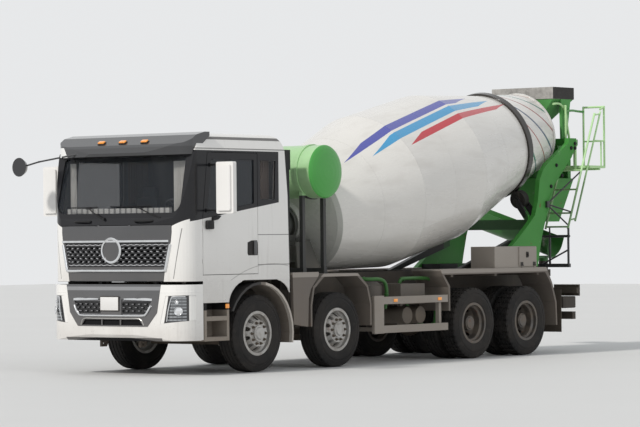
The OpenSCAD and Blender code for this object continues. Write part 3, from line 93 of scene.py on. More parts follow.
# the cab's face and the bumper: height and forward place in the middle, from there they fall back by
# y * y / crown, up to a round corner
cabFace = {
    "profile": ((1.28, 1.68), (1.40, 1.662), (2.03, 1.658), (2.15, 1.60), (3.03, 1.40), (3.25, 1.25),
                (3.30, 1.12)),
    "crown": 18,
    "cornerY": 0.985,
    "cornerR": 0.26,
}
bumperFace = {
    "profile": ((0.48, 1.65), (0.56, 1.71), (0.90, 1.73), (1.24, 1.69)),
    "crown": 16,
    "cornerY": 0.945,
    "cornerR": 0.30,
}


def middleX(face, z):
    x = face["profile"][0][1]
    for (z0, x0), (z1, x1) in zip(face["profile"], face["profile"][1:]):
        if z > z0:
            x = x0 + (x1 - x0) * min((z - z0) / (z1 - z0), 1)
    return x


def faceX(face, y, z):
    flat = min(abs(y), face["cornerY"])
    past = max(abs(y) - face["cornerY"], 0)
    corner = face["cornerR"] - math.sqrt(face["cornerR"] ** 2 - past ** 2)
    return middleX(face, z) - flat ** 2 / face["crown"] - corner


# shader maths
class Wire:
    # one output socket; arithmetic on it adds Math nodes
    def __init__(self, graph, socket):
        self.graph = graph
        self.socket = socket

    def math(self, kind, *values, clamp=False):
        settings = {"operation": kind, "use_clamp": clamp}
        return self.graph.node("ShaderNodeMath", settings, dict(enumerate(values)))

    def __add__(self, v): return self.math("ADD", self, v)
    def __radd__(self, v): return self.math("ADD", v, self)
    def __sub__(self, v): return self.math("SUBTRACT", self, v)
    def __rsub__(self, v): return self.math("SUBTRACT", v, self)
    def __mul__(self, v): return self.math("MULTIPLY", self, v)
    def __rmul__(self, v): return self.math("MULTIPLY", v, self)
    def __truediv__(self, v): return self.math("DIVIDE", self, v)
    def __rtruediv__(self, v): return self.math("DIVIDE", v, self)

    def abs(self): return self.math("ABSOLUTE", self)
    def sin(self): return self.math("SINE", self)
    def root(self): return self.math("SQRT", self.max(0.0))
    def clamp(self): return self.math("ADD", self, 0.0, clamp=True)
    def min(self, v): return self.math("MINIMUM", self, v)
    def max(self, v): return self.math("MAXIMUM", self, v)
    def wrap(self, lo, hi): return self.math("WRAP", self, hi, lo)
    def over(self, v): return self.math("GREATER_THAN", self, v)
    def under(self, v): return self.math("LESS_THAN", self, v)

    def ramp(self, lo, hi):
        # 0 at lo, 1 at hi, smooth between; lo may be above hi
        a, b, flip = (lo, hi, False) if lo < hi else (hi, lo, True)
        r = self.graph.node("ShaderNodeMapRange", {"interpolation_type": "SMOOTHSTEP"},
                            {"Value": self, "From Min": a, "From Max": b})
        return 1 - r if flip else r

    def band(self, lo, hi, soft=0.003):
        return self.ramp(lo - soft, lo + soft) * self.ramp(hi + soft, hi - soft)

    def line(self, place, half):
        return (self - place).abs().ramp(half * 1.6, half * 0.7)


class Graph:
    # an emptied node tree, and short calls that add to it
    def __init__(self, owner):
        owner.use_nodes = True
        self.tree = owner.node_tree
        self.tree.nodes.clear()

    def node(self, kind, settings, inputs, output=0):
        n = self.tree.nodes.new(kind)
        for key, value in settings.items():
            setattr(n, key, value)
        for key, value in inputs.items():
            self.feed(n.inputs[key], value)
        return Wire(self, n.outputs[output])

    def feed(self, socket, value):
        if isinstance(value, Wire):
            self.tree.links.new(value.socket, socket)
        elif socket.type == "RGBA":
            socket.default_value = (*value[:3], 1)
        else:
            socket.default_value = value


class Paint(Graph):
    # a material, with the places and patterns that the finishes need
    def __init__(self, name):
        self.mat = bpy.data.materials.new(name)
        super().__init__(self.mat)
        out = self.tree.nodes.new("ShaderNodeOutputMaterial")
        self.shader = self.tree.nodes.new("ShaderNodeBsdfPrincipled")
        self.tree.links.new(self.shader.outputs[0], out.inputs["Surface"])
        self.place = self.node("ShaderNodeTexCoord", {}, {}, "Object")
        x, self.y, self.z = (self.node("ShaderNodeSeparateXYZ", {}, {0: self.place}, i) for i in range(3))
        self.x = x - axleX
        self.wide = self.y.abs()

    def vector(self, kind, a, b, output=0):
        return self.node("ShaderNodeVectorMath", {"operation": kind}, {0: a, 1: b}, output)

    def stretched(self, sx, sy, sz):
        return self.vector("MULTIPLY", self.place, (sx, sy, sz))

    def along(self, direction, start):
        # distance from start along a direction
        return self.vector("DOT_PRODUCT", self.vector("SUBTRACT", self.place, start), direction, "Value")

    def behind(self, face, x):
        # 1 behind a surface that bulges like the face and stands at x in the middle
        return self.x.under(x - self.y * self.y / face["crown"])

    def noise(self, scale, detail=3.0, rough=0.55, vector=None):
        return self.node("ShaderNodeTexNoise", {}, {"Vector": vector or self.place, "Scale": scale,
                                                    "Detail": detail, "Roughness": rough})

    def mix(self, factor, a, b):
        return self.node("ShaderNodeMix", {"data_type": "RGBA"}, {0: factor, 6: a, 7: b}, 2)

    def darken(self, mask, color, share):
        return self.mix(mask, color, tuple(v * share for v in color))

    def cloudy(self, color, share, scale, detail=3.0, low=0.3, amount=0.5):
        # soft clouds in which the colour falls to a share of itself
        return self.darken(self.noise(scale, detail).ramp(low, 0.7) * amount, color, share)

    def zone(self, limits):
        # 1 between the lowest and highest place on each axis that is given, None where there is no end
        mask = 1
        for axis, (low, high) in limits.items():
            place = getattr(self, axis)
            mask = mask if low is None else place.over(low) * mask
            mask = mask if high is None else place.under(high) * mask
        return mask

    def tinted(self, color, zones):
        for tint, share, limits in zones:
            color = self.mix(self.zone(limits) * share, color, tint)
        return color

    def bump(self, height, strength=0.3, distance=0.004):
        return self.node("ShaderNodeBump", {}, {"Height": height, "Strength": strength, "Distance": distance})

    def finish(self, **sockets):
        names = {"color": "Base Color", "rough": "Roughness", "metal": "Metallic", "coat": "Coat Weight",
                 "coatRough": "Coat Roughness", "alpha": "Alpha", "normal": "Normal", "ior": "IOR",
                 "glow": "Emission Color", "glowPower": "Emission Strength", "specular": "Specular IOR Level"}
        for key, value in sockets.items():
            self.feed(self.shader.inputs[names[key]], value)
        return self.mat


# finishes
tones = {
    "road": (0.21, 0.17, 0.13),
    "cement": (0.5, 0.48, 0.44),
    "rust": (0.16, 0.055, 0.02),
    "tar": (0.02, 0.018, 0.016),
    "black": (0.012, 0.012, 0.014),
    "white": (0.80, 0.785, 0.755),
    "green": (0.055, 0.27, 0.045),
    "paleGreen": (0.40, 0.66, 0.33),
    "railGreen": (0.50, 0.76, 0.38),
    "dustyTaupe": (0.34, 0.305, 0.268),
}


def roadDirt(p, color, rough, low=0.4, high=2.4, amount=0.7):
    # dust that thickens towards the road, broken up by noise, with streaks and splashes
    cloud = p.noise(1.7, 5.0, 0.6)
    fall = p.z.ramp(high, low)
    film = (fall * (cloud * 1.5 - 0.1) * amount).clamp()
    streak = p.noise(1.0, 4.0, 0.6, p.stretched(14, 14, 1.1)).ramp(0.55, 0.8) * 0.25 * amount
    specks = p.noise(38, 2.0, 0.5).ramp(0.66, 0.72) * fall * amount
    dusty = p.mix((film + streak).clamp(), color, tones["road"])
    dusty = p.mix((specks * 0.5).clamp(), dusty, tones["tar"])
    return dusty, (film * 0.45 + rough).clamp()


def plainPaint(name, color, rough=0.35, coat=0.3, amount=0.7, high=2.4, specular=0.5, cloud=0.82, zones=(),
               rust=0.0, grain=(0.0, 240)):
    p = Paint(name)
    dirty, roughness = roadDirt(p, p.cloudy(color, cloud, 0.9), rough, high=high, amount=amount)
    color = p.tinted(dirty, zones)
    if rust:
        color = p.mix(p.noise(7.0, 4.0, 0.6).ramp(0.66, 0.74) * rust, color, tones["rust"])
    settings = dict(color=color, rough=roughness, coat=coat, coatRough=0.1, specular=specular)
    strength, scale = grain
    if strength:
        settings["normal"] = p.bump(p.noise(scale, 2.0), strength, 0.001)
    return p.finish(**settings)


cabLook = {
    "lining": (0.15, 0.145, 0.14),
    "sideY": 1.245,
    "window": (1.24, 2.125, 0.14),        # the black band's lower edge: forward place, height, fall per metre
    "windowHigh": 3.06,
    "windowBack": -0.405,
    "pillar": (1.24, 2.1, 0.24),          # forward place, height and lean of the screen pillar's rear edge
    "belt": (1.0, 2.03, 0.45),            # the black under the screen: where it climbs, its height and slope
    "cowl": (1.3, 2.26),
    "room": (-0.575, 1.191, 1.336, 3.25),   # rear, side, floor and roof of the lined inside
    "skin": 0.03,
    "lidRecess": (1.622, 1.005, 2.053),
    "foot": 1.284,
    "seams": (1.906, 1.492),
    "seamsFront": 0.06,
    "roofSeam": 3.085,
    "vane": (1.03, 1.315, 0.168),         # the joint of the corner vane: across, height and lean
    "crease": (-0.25, 1.5, -0.266),       # the pressed line over the wheel: forward place, height and bend
    "creaseEnds": (-0.6, 0.86),
}


def cabWhite(p):
    return roadDirt(p, p.cloudy(tones["white"], 0.93, 0.7, amount=0.4), 0.2, high=2.1, amount=0.5)


def windowBand(p, c):
    x, z, fall = c["window"]
    return (p.z - ((x - p.x) * fall + z)).over(0.0)


def archCrease(p, c):
    # it runs over the front wheel, on the door and the panel behind it
    x, z, bend = c["crease"]
    height = (p.x - x) * (p.x - x) * bend + z
    return p.z.line(height, 0.005) * p.x.band(*c["creaseEnds"], 0.02)


def cabSkin(p, face):
    # the screen's and the nose's outer surface, as faceX gives it
    (z0, x0), (z1, x1) = face["profile"][3:5]
    flat = p.wide.min(face["cornerY"])
    past = (p.wide - face["cornerY"]).max(0.0)
    front = ((p.z - z0) * ((x1 - x0) / (z1 - z0)) + x0).min(face["profile"][2][1])
    return front - flat * flat / face["crown"] + (face["cornerR"] ** 2 - past * past).root() - face["cornerR"]


def cabPaint(c):
    p = Paint("cabPaint")
    dirty, roughness = cabWhite(p)
    side = p.wide.over(c["sideY"] - 0.03)
    band = windowBand(p, c) * p.z.under(c["windowHigh"]) * side * p.x.over(c["windowBack"])
    climbY, beltZ, slope = c["belt"]
    rise = (p.z - (p.wide - climbY).max(0.0) * slope - beltZ).over(0.0)
    x, z, lean = c["pillar"]
    pillar = (p.x + (p.z - z) * lean - x).over(0.0) * rise * p.z.under(c["windowHigh"])
    noseX, cowlZ = c["cowl"]
    cowl = p.x.over(noseX) * p.z.under(cowlZ) * rise
    rear, wide, floor, roof = c["room"]
    inside = (p.wide.under(wide) * p.z.over(floor) * p.z.under(roof) * p.x.over(rear)
              * (cabSkin(p, cabFace) - c["skin"] - p.x).over(0.0))
    x, wide, z = c["lidRecess"]
    behindLid = p.x.over(noseX) * p.behind(cabFace, x) * p.wide.under(wide) * p.z.under(z)
    black = band.max(pillar).max(cowl)
    color = p.mix(black, dirty, tones["black"])
    color = p.mix(inside.max(p.z.under(c["foot"])), color, c["lining"])
    color = p.mix(behindLid, color, tones["black"])
    outside = side * (1 - inside)
    seams = sum(p.z.line(z, 0.004) for z in c["seams"]) * outside * p.x.under(c["seamsFront"])
    seams = seams + p.z.line(c["roofSeam"], 0.006) * outside
    y, z, lean = c["vane"]
    vane = p.wide.line((p.z - z) * lean + y, 0.004) * p.x.over(1.5) * p.z.band(1.32, 2.0)
    crease = archCrease(p, c) * outside
    dark = black.max(inside).max(behindLid)
    # dark joints along the seams and the vane; the darkening along the pressed crease is painted shade
    jointsAndCreaseShade = p.mix((seams + vane + crease * 0.4).clamp() * 0.75, color, tones["tar"])
    return p.finish(color=jointsAndCreaseShade, rough=roughness, coat=(1 - dark) * 0.5, coatRough=0.06, specular=0.35,
                    normal=p.bump(1 - (seams + vane + crease).clamp(), 0.7, 0.008))


def doorPaint(c):
    # the doors: white below the window, black round it, lined inside
    p = Paint("doorPaint")
    dirty, roughness = cabWhite(p)
    band = windowBand(p, c)
    color = p.mix(band, dirty, tones["black"])
    color = p.mix(p.wide.under(c["sideY"] - 0.05), color, c["lining"])
    crease = archCrease(p, c) * p.wide.over(c["sideY"] - 0.02)
    # painted shade along the pressed crease
    color = p.mix(crease * 0.3, color, tones["tar"])
    return p.finish(color=color, rough=roughness, coat=(1 - band) * 0.5, coatRough=0.06, specular=0.35,
                    normal=p.bump(1 - crease, 0.6, 0.008))


drumLook = {
    "tilt": math.radians(13),
    "start": (-2.387, 0, 2.169),
    "white": (0.72, 0.70, 0.66),
    # the front head's colour is darker than the drum's white: painted shade
    "head": (0.30, 0.31, 0.28),
    "mouth": (0.022, 0.018, 0.015),
    "cement": (0.36, 0.35, 0.32),
    # turn at the start, turn per metre, half width, first and last place, colour
    "ribbons": (
        (0.86, 0.075, 0.060, 0.75, 3.85, (0.075, 0.085, 0.36)),
        (0.70, 0.075, 0.060, 1.25, 4.35, (0.05, 0.30, 0.55)),
        (0.54, 0.075, 0.048, 1.95, 4.72, (0.50, 0.03, 0.045)),
    ),
    "ribbonSlant": 4.5,
    # thin spiral stripes on the rear cone: place in the pitch, half width, colour
    "lines": (
        (0.10, 0.016, (0.30, 0.05, 0.035)),
        (0.40, 0.026, (0.012, 0.05, 0.12)),
        (0.74, 0.020, (0.26, 0.035, 0.03)),
        (1.05, 0.025, (0.015, 0.16, 0.13)),
    ),
    "linePitch": 1.3069,
    "lineTurn": -0.624,
    "cone": (5.03, 5.925),
    "mouthStart": 5.967,
    "seams": (0.82, 1.63, 2.44, 3.245, 4.1),
    "longSeams": (0.9, -0.5, 1.5, 0.2),   # turn of the seam between each two of them
    "track": (4.894, 5.012),
}
drumAxis = Vector((-math.cos(drumLook["tilt"]), 0, math.sin(drumLook["tilt"])))
drumUp = Vector((math.sin(drumLook["tilt"]), 0, math.cos(drumLook["tilt"])))
drumStart = at(*drumLook["start"])


def drumPaint(c):
    p = Paint("drumPaint")
    s = p.along(drumAxis, drumStart)
    up = p.along(drumUp, drumStart)
    angle = up.math("ARCTAN2", up, p.y)
    color = p.cloudy(c["white"], 0.9, 0.8, low=0.35)
    # three stripes side by side, cut slanting at both ends, on both sides of the drum
    for start, slope, half, first, last, tint in c["ribbons"]:
        turn = (angle - (s * slope + start)).wrap(-math.pi / 2, math.pi / 2)
        place = s - turn * c["ribbonSlant"]
        color = p.mix(turn.abs().under(half) * place.over(first) * place.under(last), color, tint)
    low, high = c["cone"]
    cone = s.over(low) * s.under(high)
    spiral = (s - angle * c["lineTurn"]).wrap(0.0, c["linePitch"])
    for place, half, tint in c["lines"]:
        color = p.mix((spiral - place).abs().under(half) * cone, color, tint)
    # dried cement that runs back from the mouth, dust in streaks
    runs = p.noise(1.0, 5.0, 0.65, p.stretched(1.2, 9, 9)).ramp(0.5, 0.75)
    stain = (runs * s.ramp(4.2, 6.0) * 0.6).clamp()
    film = p.noise(1.0, 5.0, 0.6, p.stretched(0.7, 5, 5)).ramp(0.45, 0.8) * 0.16
    color = p.mix(film, color, tones["road"])
    color = p.mix(stain, color, c["cement"])
    ring = s.band(*c["track"], 0.001)
    color = p.mix((ring + s.over(c["mouthStart"])).clamp(), color, c["mouth"])
    # the front head darkened, painted shade
    color = p.mix(s.under(0.006) * 0.6, color, c["head"])
    seams = sum(s.line(place, 0.006) for place in c["seams"])
    for turn, low, high in zip(c["longSeams"], c["seams"], c["seams"][1:]):
        seams = seams + angle.line(turn, 0.004) * s.band(low, high)
    return p.finish(color=color, rough=0.27 + stain * 0.4 + film, coat=0.35, coatRough=0.1,
                    normal=p.bump(seams.clamp(), 0.5, 0.006))


def mixerGreen(name, color, amount=0.6, rusting=0.7, zones=()):
    p = Paint(name)
    tone = p.cloudy(color, 0.7, 1.5, 4.0)
    splash = p.noise(2.6, 6.0, 0.7).ramp(0.6, 0.74) * amount
    tone = p.mix((splash * 0.6).clamp(), tone, tones["cement"])
    rusty = p.noise(5.5, 4.0, 0.6).ramp(0.67, 0.75)
    return p, p.tinted(p.mix(rusty * rusting, tone, tones["rust"]), zones), splash


def greenSteel(name, color, amount=0.6, rough=0.4, coat=0.1, specular=0.3, zones=()):
    p, tone, splash = mixerGreen(name, color, amount, zones=zones)
    return p.finish(color=tone, rough=splash * 0.4 + rough, coat=coat, coatRough=0.2, specular=specular,
                    normal=p.bump(splash, 0.35, 0.004))


# parts of a piece that have their own tone, or painted shade: the tone, its strength, and where it is
zones = {
    # inner faces darkened as painted shade, black braces under the drum and bearings
    "rearPedestal": (
        ((0.02, 0.045, 0.02), 0.75, {"x": (-7.95, None), "wide": (None, 0.699), "z": (None, 3.0)}),
        ((0.018, 0.018, 0.018), 1, {"x": (-6.88, None), "wide": (None, 0.698), "z": (None, 1.80)}),
        ((0.018, 0.018, 0.018), 1, {"x": (-7.95, None), "wide": (None, 0.66), "z": (2.14, 2.75)}),
    ),
    # a pale worn outer rim behind the wheel, and the dark part ahead of it
    "mudguards": (
        ((0.46, 0.42, 0.37), 1, {"x": (None, -0.1), "wide": (1.195, None)}),
        ((0.028, 0.026, 0.025), 1, {"x": (0.0, None)}),
    ),
    # paler on the top and on the outer flange
    "fenders": (
        (tones["dustyTaupe"], 0.8, {"z": (1.337, None)}),
        (tones["dustyTaupe"], 0.8, {"wide": (1.235, None), "z": (1.30, 1.337)}),
    ),
    "steps": (((0.014, 0.014, 0.015), 1, {"z": (0.885, None)}),),
    "mirrorArms": (
        ((0.015, 0.015, 0.016), 1, {"wide": (None, 1.447)}),
        ((0.015, 0.015, 0.016), 1, {"x": (1.4, None)}),
    ),
    "standPosts": (((0.03, 0.03, 0.029), 1, {"z": (None, 2.46)}),),
    # the tank's ends darker green than the barrel: painted shade
    "shadedTankEnds": (((0.05, 0.33, 0.045), 1, {"wide": (1.131, None)}),),
}


def standPaint():
    p, tone, splash = mixerGreen("standPaint", tones["paleGreen"], 0.12, 0.15, zones["standPosts"])
    return p.finish(color=tone, rough=splash * 0.3 + 0.42)


def waterTankPaint():
    # the ends darker, painted shade; a weld bump where they meet the barrel
    p, tone, splash = mixerGreen("waterTankPaint", tones["paleGreen"], 0.12, 0.15, zones["shadedTankEnds"])
    weld = p.wide.line(zones["shadedTankEnds"][0][2]["wide"][0], 0.006)
    return p.finish(color=tone, rough=splash * 0.3 + 0.3, coat=0.3, coatRough=0.1,
                    normal=p.bump(weld, 0.5, 0.005))


insertLook = {
    "grey": (0.10, 0.101, 0.105),
    "shoulder": (1.165, 1.215),
    "shoulderTone": (0.24, 0.242, 0.25),
    # behind the sunk face and inside the slot the insert is painted near black: painted shade
    "sunk": (1.688, 1.05),                # what stands behind this, below this height, is hollow
    "slot": (1.712, 0.57, (0.686, 0.768)),
    "hollow": (0.006, 0.006, 0.007),
    "mesh": (0.2, (0.82, 1.035)),         # from this far across, between these heights
    "meshEnd": (0.6, 0.815, 0.53),        # across, height and slant of its outer end
    # the mesh's openings dark as painted shade, its ribs light as painted highlight
    "meshShade": (0.014, 0.014, 0.015),
    "ribs": (0.839, 0.046, 0.0035),       # height of one, pitch and half width
    "ribHighlight": (0.30, 0.30, 0.31),
}


def insertPaint(c):
    p = Paint("insertPaint")
    dirty, roughness = roadDirt(p, c["grey"], 0.25, low=0.3, high=1.3, amount=0.3)
    color = p.mix(p.z.band(*c["shoulder"]), dirty, c["shoulderTone"])
    x, z = c["sunk"]
    sunk = p.behind(bumperFace, x) * p.z.under(z)
    x, wide, heights = c["slot"]
    # painted shade in the sunk part and the slot
    hollow = sunk.max(p.behind(bumperFace, x) * p.z.band(*heights) * p.wide.under(wide))
    color = p.mix(hollow, color, c["hollow"])
    wide, heights = c["mesh"]
    endY, endZ, slant = c["meshEnd"]
    mesh = p.wide.over(wide) * p.z.band(*heights) * ((p.z - endZ) * slant + endY - p.wide).over(0.0)
    z, pitch, half = c["ribs"]
    ribs = (p.z - z).wrap(-pitch / 2, pitch / 2).abs().under(half)
    # painted shade in the mesh's openings, painted highlight on its ribs
    color = p.mix(mesh * (1 - ribs), color, c["meshShade"])
    color = p.mix(mesh * ribs, color, c["ribHighlight"])
    return p.finish(color=color, rough=roughness.max(hollow * 0.9), coat=(1 - hollow) * 0.35, coatRough=0.08,
                    specular=0.25)


bumperLook = {
    "cover": (1.676, 0.93),               # what stands behind this, within this far across, is covered
    "edge": ((0.865, 1.30, 0.17), (0.79, 0.86, 0.85)),   # the insert's two side edges: across, height, slant
    "edgeFoot": 0.68,
    "crease": 1.14,
    "coverTone": (0.010, 0.010, 0.011),
}


def bumperPaint(c):
    p = Paint("bumperPaint")
    dirty, roughness = roadDirt(p, tones["white"], 0.22, low=0.3, high=1.2, amount=0.45)
    x, wide = c["cover"]
    inner = p.behind(bumperFace, x) * p.wide.under(wide)
    upper, lower = ((p.z - z) * slant + y for y, z, slant in c["edge"])
    covered = (upper.min(lower) - p.wide).over(0.0) * p.z.over(c["edgeFoot"])
    color = p.mix(inner.max(covered), dirty, c["coverTone"])
    return p.finish(color=color, rough=roughness, coat=0.5, coatRough=0.06,
                    normal=p.bump(p.z.line(c["crease"], 0.008), 0.25, 0.01))


grilleLook = {
    # the cell colour is painted shade, the bar colour a painted highlight
    "cell": (0.016, 0.016, 0.0175),
    "bar": (0.52, 0.525, 0.54),
    "barZ": 1.507,
    "pitch": 0.046,
    "half": 0.0038,
    "wave": (0.108, 0.004),               # length and height of the line's wave
}


def grillePaint(c):
    # dark cells as painted shade, with a painted highlight along the top of each bar
    p = Paint("grillePaint")
    length, height = c["wave"]
    wave = (p.y * (2 * math.pi / length)).sin() * height
    bar = (p.z + wave - c["barZ"]).wrap(-c["pitch"] / 2, c["pitch"] / 2).abs().under(c["half"])
    return p.finish(color=p.mix(bar, c["cell"], c["bar"]), rough=0.3, specular=0.4)


hopperLook = {
    "green": (0.09, 0.33, 0.08),
    "crust": ((0.40, 0.385, 0.36), (0.24, 0.23, 0.215)),
    "side": (0.012, 0.010, 0.009),
    "shadedSideWide": 0.5995,
    "trayFoot": 4.058,
}


def hopperPaint(c):
    # a cement grey tray over a green funnel, the tray's sides near black as painted shade
    p, tone, splash = mixerGreen("hopperPaint", c["green"], 0.8)
    crust = p.noise(7.0, 6.0, 0.7)
    grey = p.mix(crust.ramp(0.35, 0.7), *c["crust"])
    # painted shade on the tray's sides
    grey = p.mix(p.wide.over(c["shadedSideWide"]) * 0.96, grey, c["side"])
    color = p.mix(p.z.over(c["trayFoot"]), tone, grey)
    return p.finish(color=color, rough=0.7 + splash * 0.2, normal=p.bump(crust, 0.5, 0.006))


ladderLook = {
    "stile": ((-8.13, 1.995), (-8.93, 3.83)),    # forward place and height of its foot and head
    "black": (0.028, 0.028, 0.03),
    "shade": (0.13, 0.25, 0.09),
    "legTop": 1.97,
}


def ladderPaint(c):
    # light green above, black legs and braces below and ahead of the stiles
    p, tone, splash = mixerGreen("ladderPaint", tones["railGreen"], 0.15, 0.2)
    tone = p.mix(p.z.ramp(3.0, 2.6) * 0.85, tone, c["shade"])
    (x0, z0), (x1, z1) = c["stile"]
    ahead = (p.x - x0 - (p.z - z0) * ((x1 - x0) / (z1 - z0))).over(0.022)
    color = p.mix(ahead.max(p.z.under(c["legTop"])), tone, c["black"])
    return p.finish(color=color, rough=0.42 + splash * 0.3, coat=0.1, coatRough=0.2)


visorLook = {
    "grey": (0.05, 0.051, 0.054),
    "shade": (0.014, 0.014, 0.015),
    "shadeZ": (3.125, 3.105),
    "tip": (0.8, 0.8, 0.78),
    "tipFrom": (-1.0, 3.02, 0.55),        # across, height and slant of the white right tip
    "tipWithin": (1.2, 3.14),             # forward place and height
    "blackFrom": (1.62, 2.999),
}


def visorPaint(c):
    p = Paint("visorPaint")
    dirty, roughness = roadDirt(p, c["grey"], 0.18, high=3.4, amount=0.12)
    y, z, slant = c["tipFrom"]
    x, top = c["tipWithin"]
    tip = (p.y * -1.0 - (p.z - z) * slant).over(-y) * p.z.under(top) * p.x.over(x)
    color = p.mix(tip, p.mix(p.z.ramp(*c["shadeZ"]) * 0.6, dirty, c["shade"]), c["tip"])
    x, z = c["blackFrom"]
    color = p.mix((p.z.under(z) + p.x.over(x)).clamp(), color, tones["black"])
    return p.finish(color=color, rough=roughness, coat=0.6, coatRough=0.08)


def tyreRubber(clean=(0.011, 0.0105, 0.0105), dusty=(0.10, 0.086, 0.074)):
    p = Paint("tyreRubber")
    dust = p.noise(3.0, 5.0, 0.6).ramp(0.3, 0.75)
    mud = p.noise(11.0, 4.0, 0.6).ramp(0.55, 0.75)
    color = p.mix((dust * 0.26 + mud * 0.16).clamp(), clean, dusty)
    return p.finish(color=color, rough=0.72 + dust * 0.18, specular=0.3,
                    normal=p.bump(p.noise(60, 4.0), 0.25, 0.002))


def rimPaint(name, color, amount, metal):
    p = Paint(name)
    dust = p.noise(6.0, 5.0, 0.65).ramp(0.35, 0.7)
    rusty = p.noise(9.0, 4.0, 0.6).ramp(0.62, 0.72)
    dusty = p.mix((dust * amount).clamp(), color, tones["road"])
    return p.finish(color=p.mix(rusty * amount, dusty, tones["rust"]), rough=0.35 + dust * 0.35, metal=metal)


def paneGlass(name, alpha, tint=(0.03, 0.036, 0.044)):
    p = Paint(name)
    film = p.noise(1.2, 4.0).ramp(0.4, 0.8) * 0.08
    return p.finish(color=tint, rough=0.03 + film, alpha=alpha, ior=1.5)


def lensPaint(name, color, ribs, glow):
    p = Paint(name)
    rows = (p.z * ribs).sin().ramp(0.2, 0.9)
    shade = p.darken(rows * 0.45, color, 0.45)
    return p.finish(color=shade, rough=rows * 0.1 + 0.08, coat=1.0, coatRough=0.03, glow=color,
                    glowPower=glow)


housingLook = {
    "edge": (0.932, 0.717, 0.206),        # across, height and slant of the lamp's inner edge
    "lamp": (-0.025, 1.21, 0.705, 1.105, 0.001),      # past the edge, across, heights and their softness
    "bowl": (0.022, 1.192, 0.735, 1.075, 0.002),
    "frame": (0.012, 0.012, 0.013),
    "ribs": ((0.055, 0.058, 0.062), (0.40, 0.42, 0.44)),
    "upper": (0.20, 0.21, 0.22),
}


def lampHousing(c):
    # lamps behind their covers: a dark frame, ribbed bowls whose light and dark rows and lighter upper part
    # are painted reflection, and body colour outside them
    p = Paint("lampHousing")
    y, z, slant = c["edge"]
    inner = p.wide - (p.z - z) * slant - y
    lamp, bowl = (inner.over(past) * p.wide.under(wide) * p.z.band(low, high, soft)
                  for past, wide, low, high, soft in (c["lamp"], c["bowl"]))
    # painted reflection: light and dark rows on the ribs, lighter towards the top
    rows = (p.z * 150).sin().ramp(0.0, 0.9) * ((p.y * 60).sin().abs().ramp(0.0, 0.6) * 0.6 + 0.4)
    glass = p.mix(p.z.ramp(0.80, 1.0) * 0.5, p.mix(rows, *c["ribs"]), c["upper"])
    color = p.mix(bowl, p.mix(lamp, tones["white"], c["frame"]), glass)
    return p.finish(color=color, rough=0.1 + rows * 0.08, metal=bowl * 0.5, coat=1.0, coatRough=0.03)


def brightMetal(name, color, rough):
    p = Paint(name)
    film = p.noise(9.0, 4.0).ramp(0.4, 0.8)
    return p.finish(color=p.darken(film * 0.35, color, 0.6), rough=rough + film * 0.18, metal=1.0)


def clothPaint(name, color, strands=0.0, gap=(0.10, 0.10, 0.105)):
    p = Paint(name)
    thread = (p.z * 900).sin() * (p.y * 900).sin()
    tone = p.cloudy(color, 0.8, 3.0)
    if strands:
        # dark gaps between the strands, painted shade
        tone = p.mix((p.y * strands).sin().ramp(0.1, 0.9) * 0.7, tone, gap)
    return p.finish(color=tone, rough=0.9, normal=p.bump(thread, 0.2, 0.001))


# the numbers after a colour: roughness, coat and dirt of plainPaint, cement splashes of greenSteel,
# ribs and glow of lensPaint, dirt and metal of rimPaint
paints = {
    "black": plainPaint("blackPlastic", (0.013, 0.013, 0.014), 0.45, 0, 0.3, specular=0.25, grain=(0.2, 240)),
    "castMetal": plainPaint("castMetal", (0.028, 0.026, 0.024), 0.6, 0, 0.8, specular=0.25, grain=(0.3, 240)),
    "chassis": plainPaint("chassisBlack", (0.02, 0.019, 0.0185), 0.55, 0, 0.5, specular=0.25),
    "grey": plainPaint("noseGrey", (0.07, 0.071, 0.075), 0.28, 0.3, 0.25),
    "white": plainPaint("mirrorWhite", (0.82, 0.81, 0.79), 0.25, 0.5, 0.2),
    "green": greenSteel("mixerGreen", tones["green"], 0.45),
    "pipeGreen": greenSteel("pipeGreen", (0.045, 0.15, 0.035), 0.7),
    "railGreen": greenSteel("railGreen", tones["railGreen"], 0.15),
    "chrome": brightMetal("chrome", (0.78, 0.79, 0.8), 0.14),
    "steel": brightMetal("wornSteel", (0.45, 0.44, 0.42), 0.35),
    "mirror": brightMetal("mirrorSilver", (0.9, 0.91, 0.92), 0.02),
    "amber": lensPaint("amberLens", (0.85, 0.30, 0.03), 260, 0.25),
    "red": lensPaint("redLens", (0.55, 0.02, 0.02), 200, 0.1),
    "clear": lensPaint("clearLens", (0.75, 0.77, 0.78), 160, 0.1),
    "curtain": clothPaint("curtainCloth", (0.86, 0.845, 0.81)),
    "panel": plainPaint("panelWhite", tones["white"], 0.2, 0.5, 0.5, 2.1),
    "brown": clothPaint("bunkCurtainCloth", (0.20, 0.15, 0.12)),
    "fringe": clothPaint("fringeCloth", (0.88, 0.87, 0.84), 62.0),
    "rubber": tyreRubber(),
    "rimSilver": rimPaint("rimSilver", (0.46, 0.45, 0.43), 0.45, 0.4),
    "rimDark": rimPaint("rimDark", (0.085, 0.077, 0.07), 0.6, 0.2),
}


def wear(start, mat, ends=""):
    # every node whose name begins like this, and ends in one of these letters if any are given
    for name in nodes:
        if name.startswith(start) and (not ends or name[-1] in ends):
            slots = nodes[name].data.materials
            slots.clear()
            slots.append(mat)


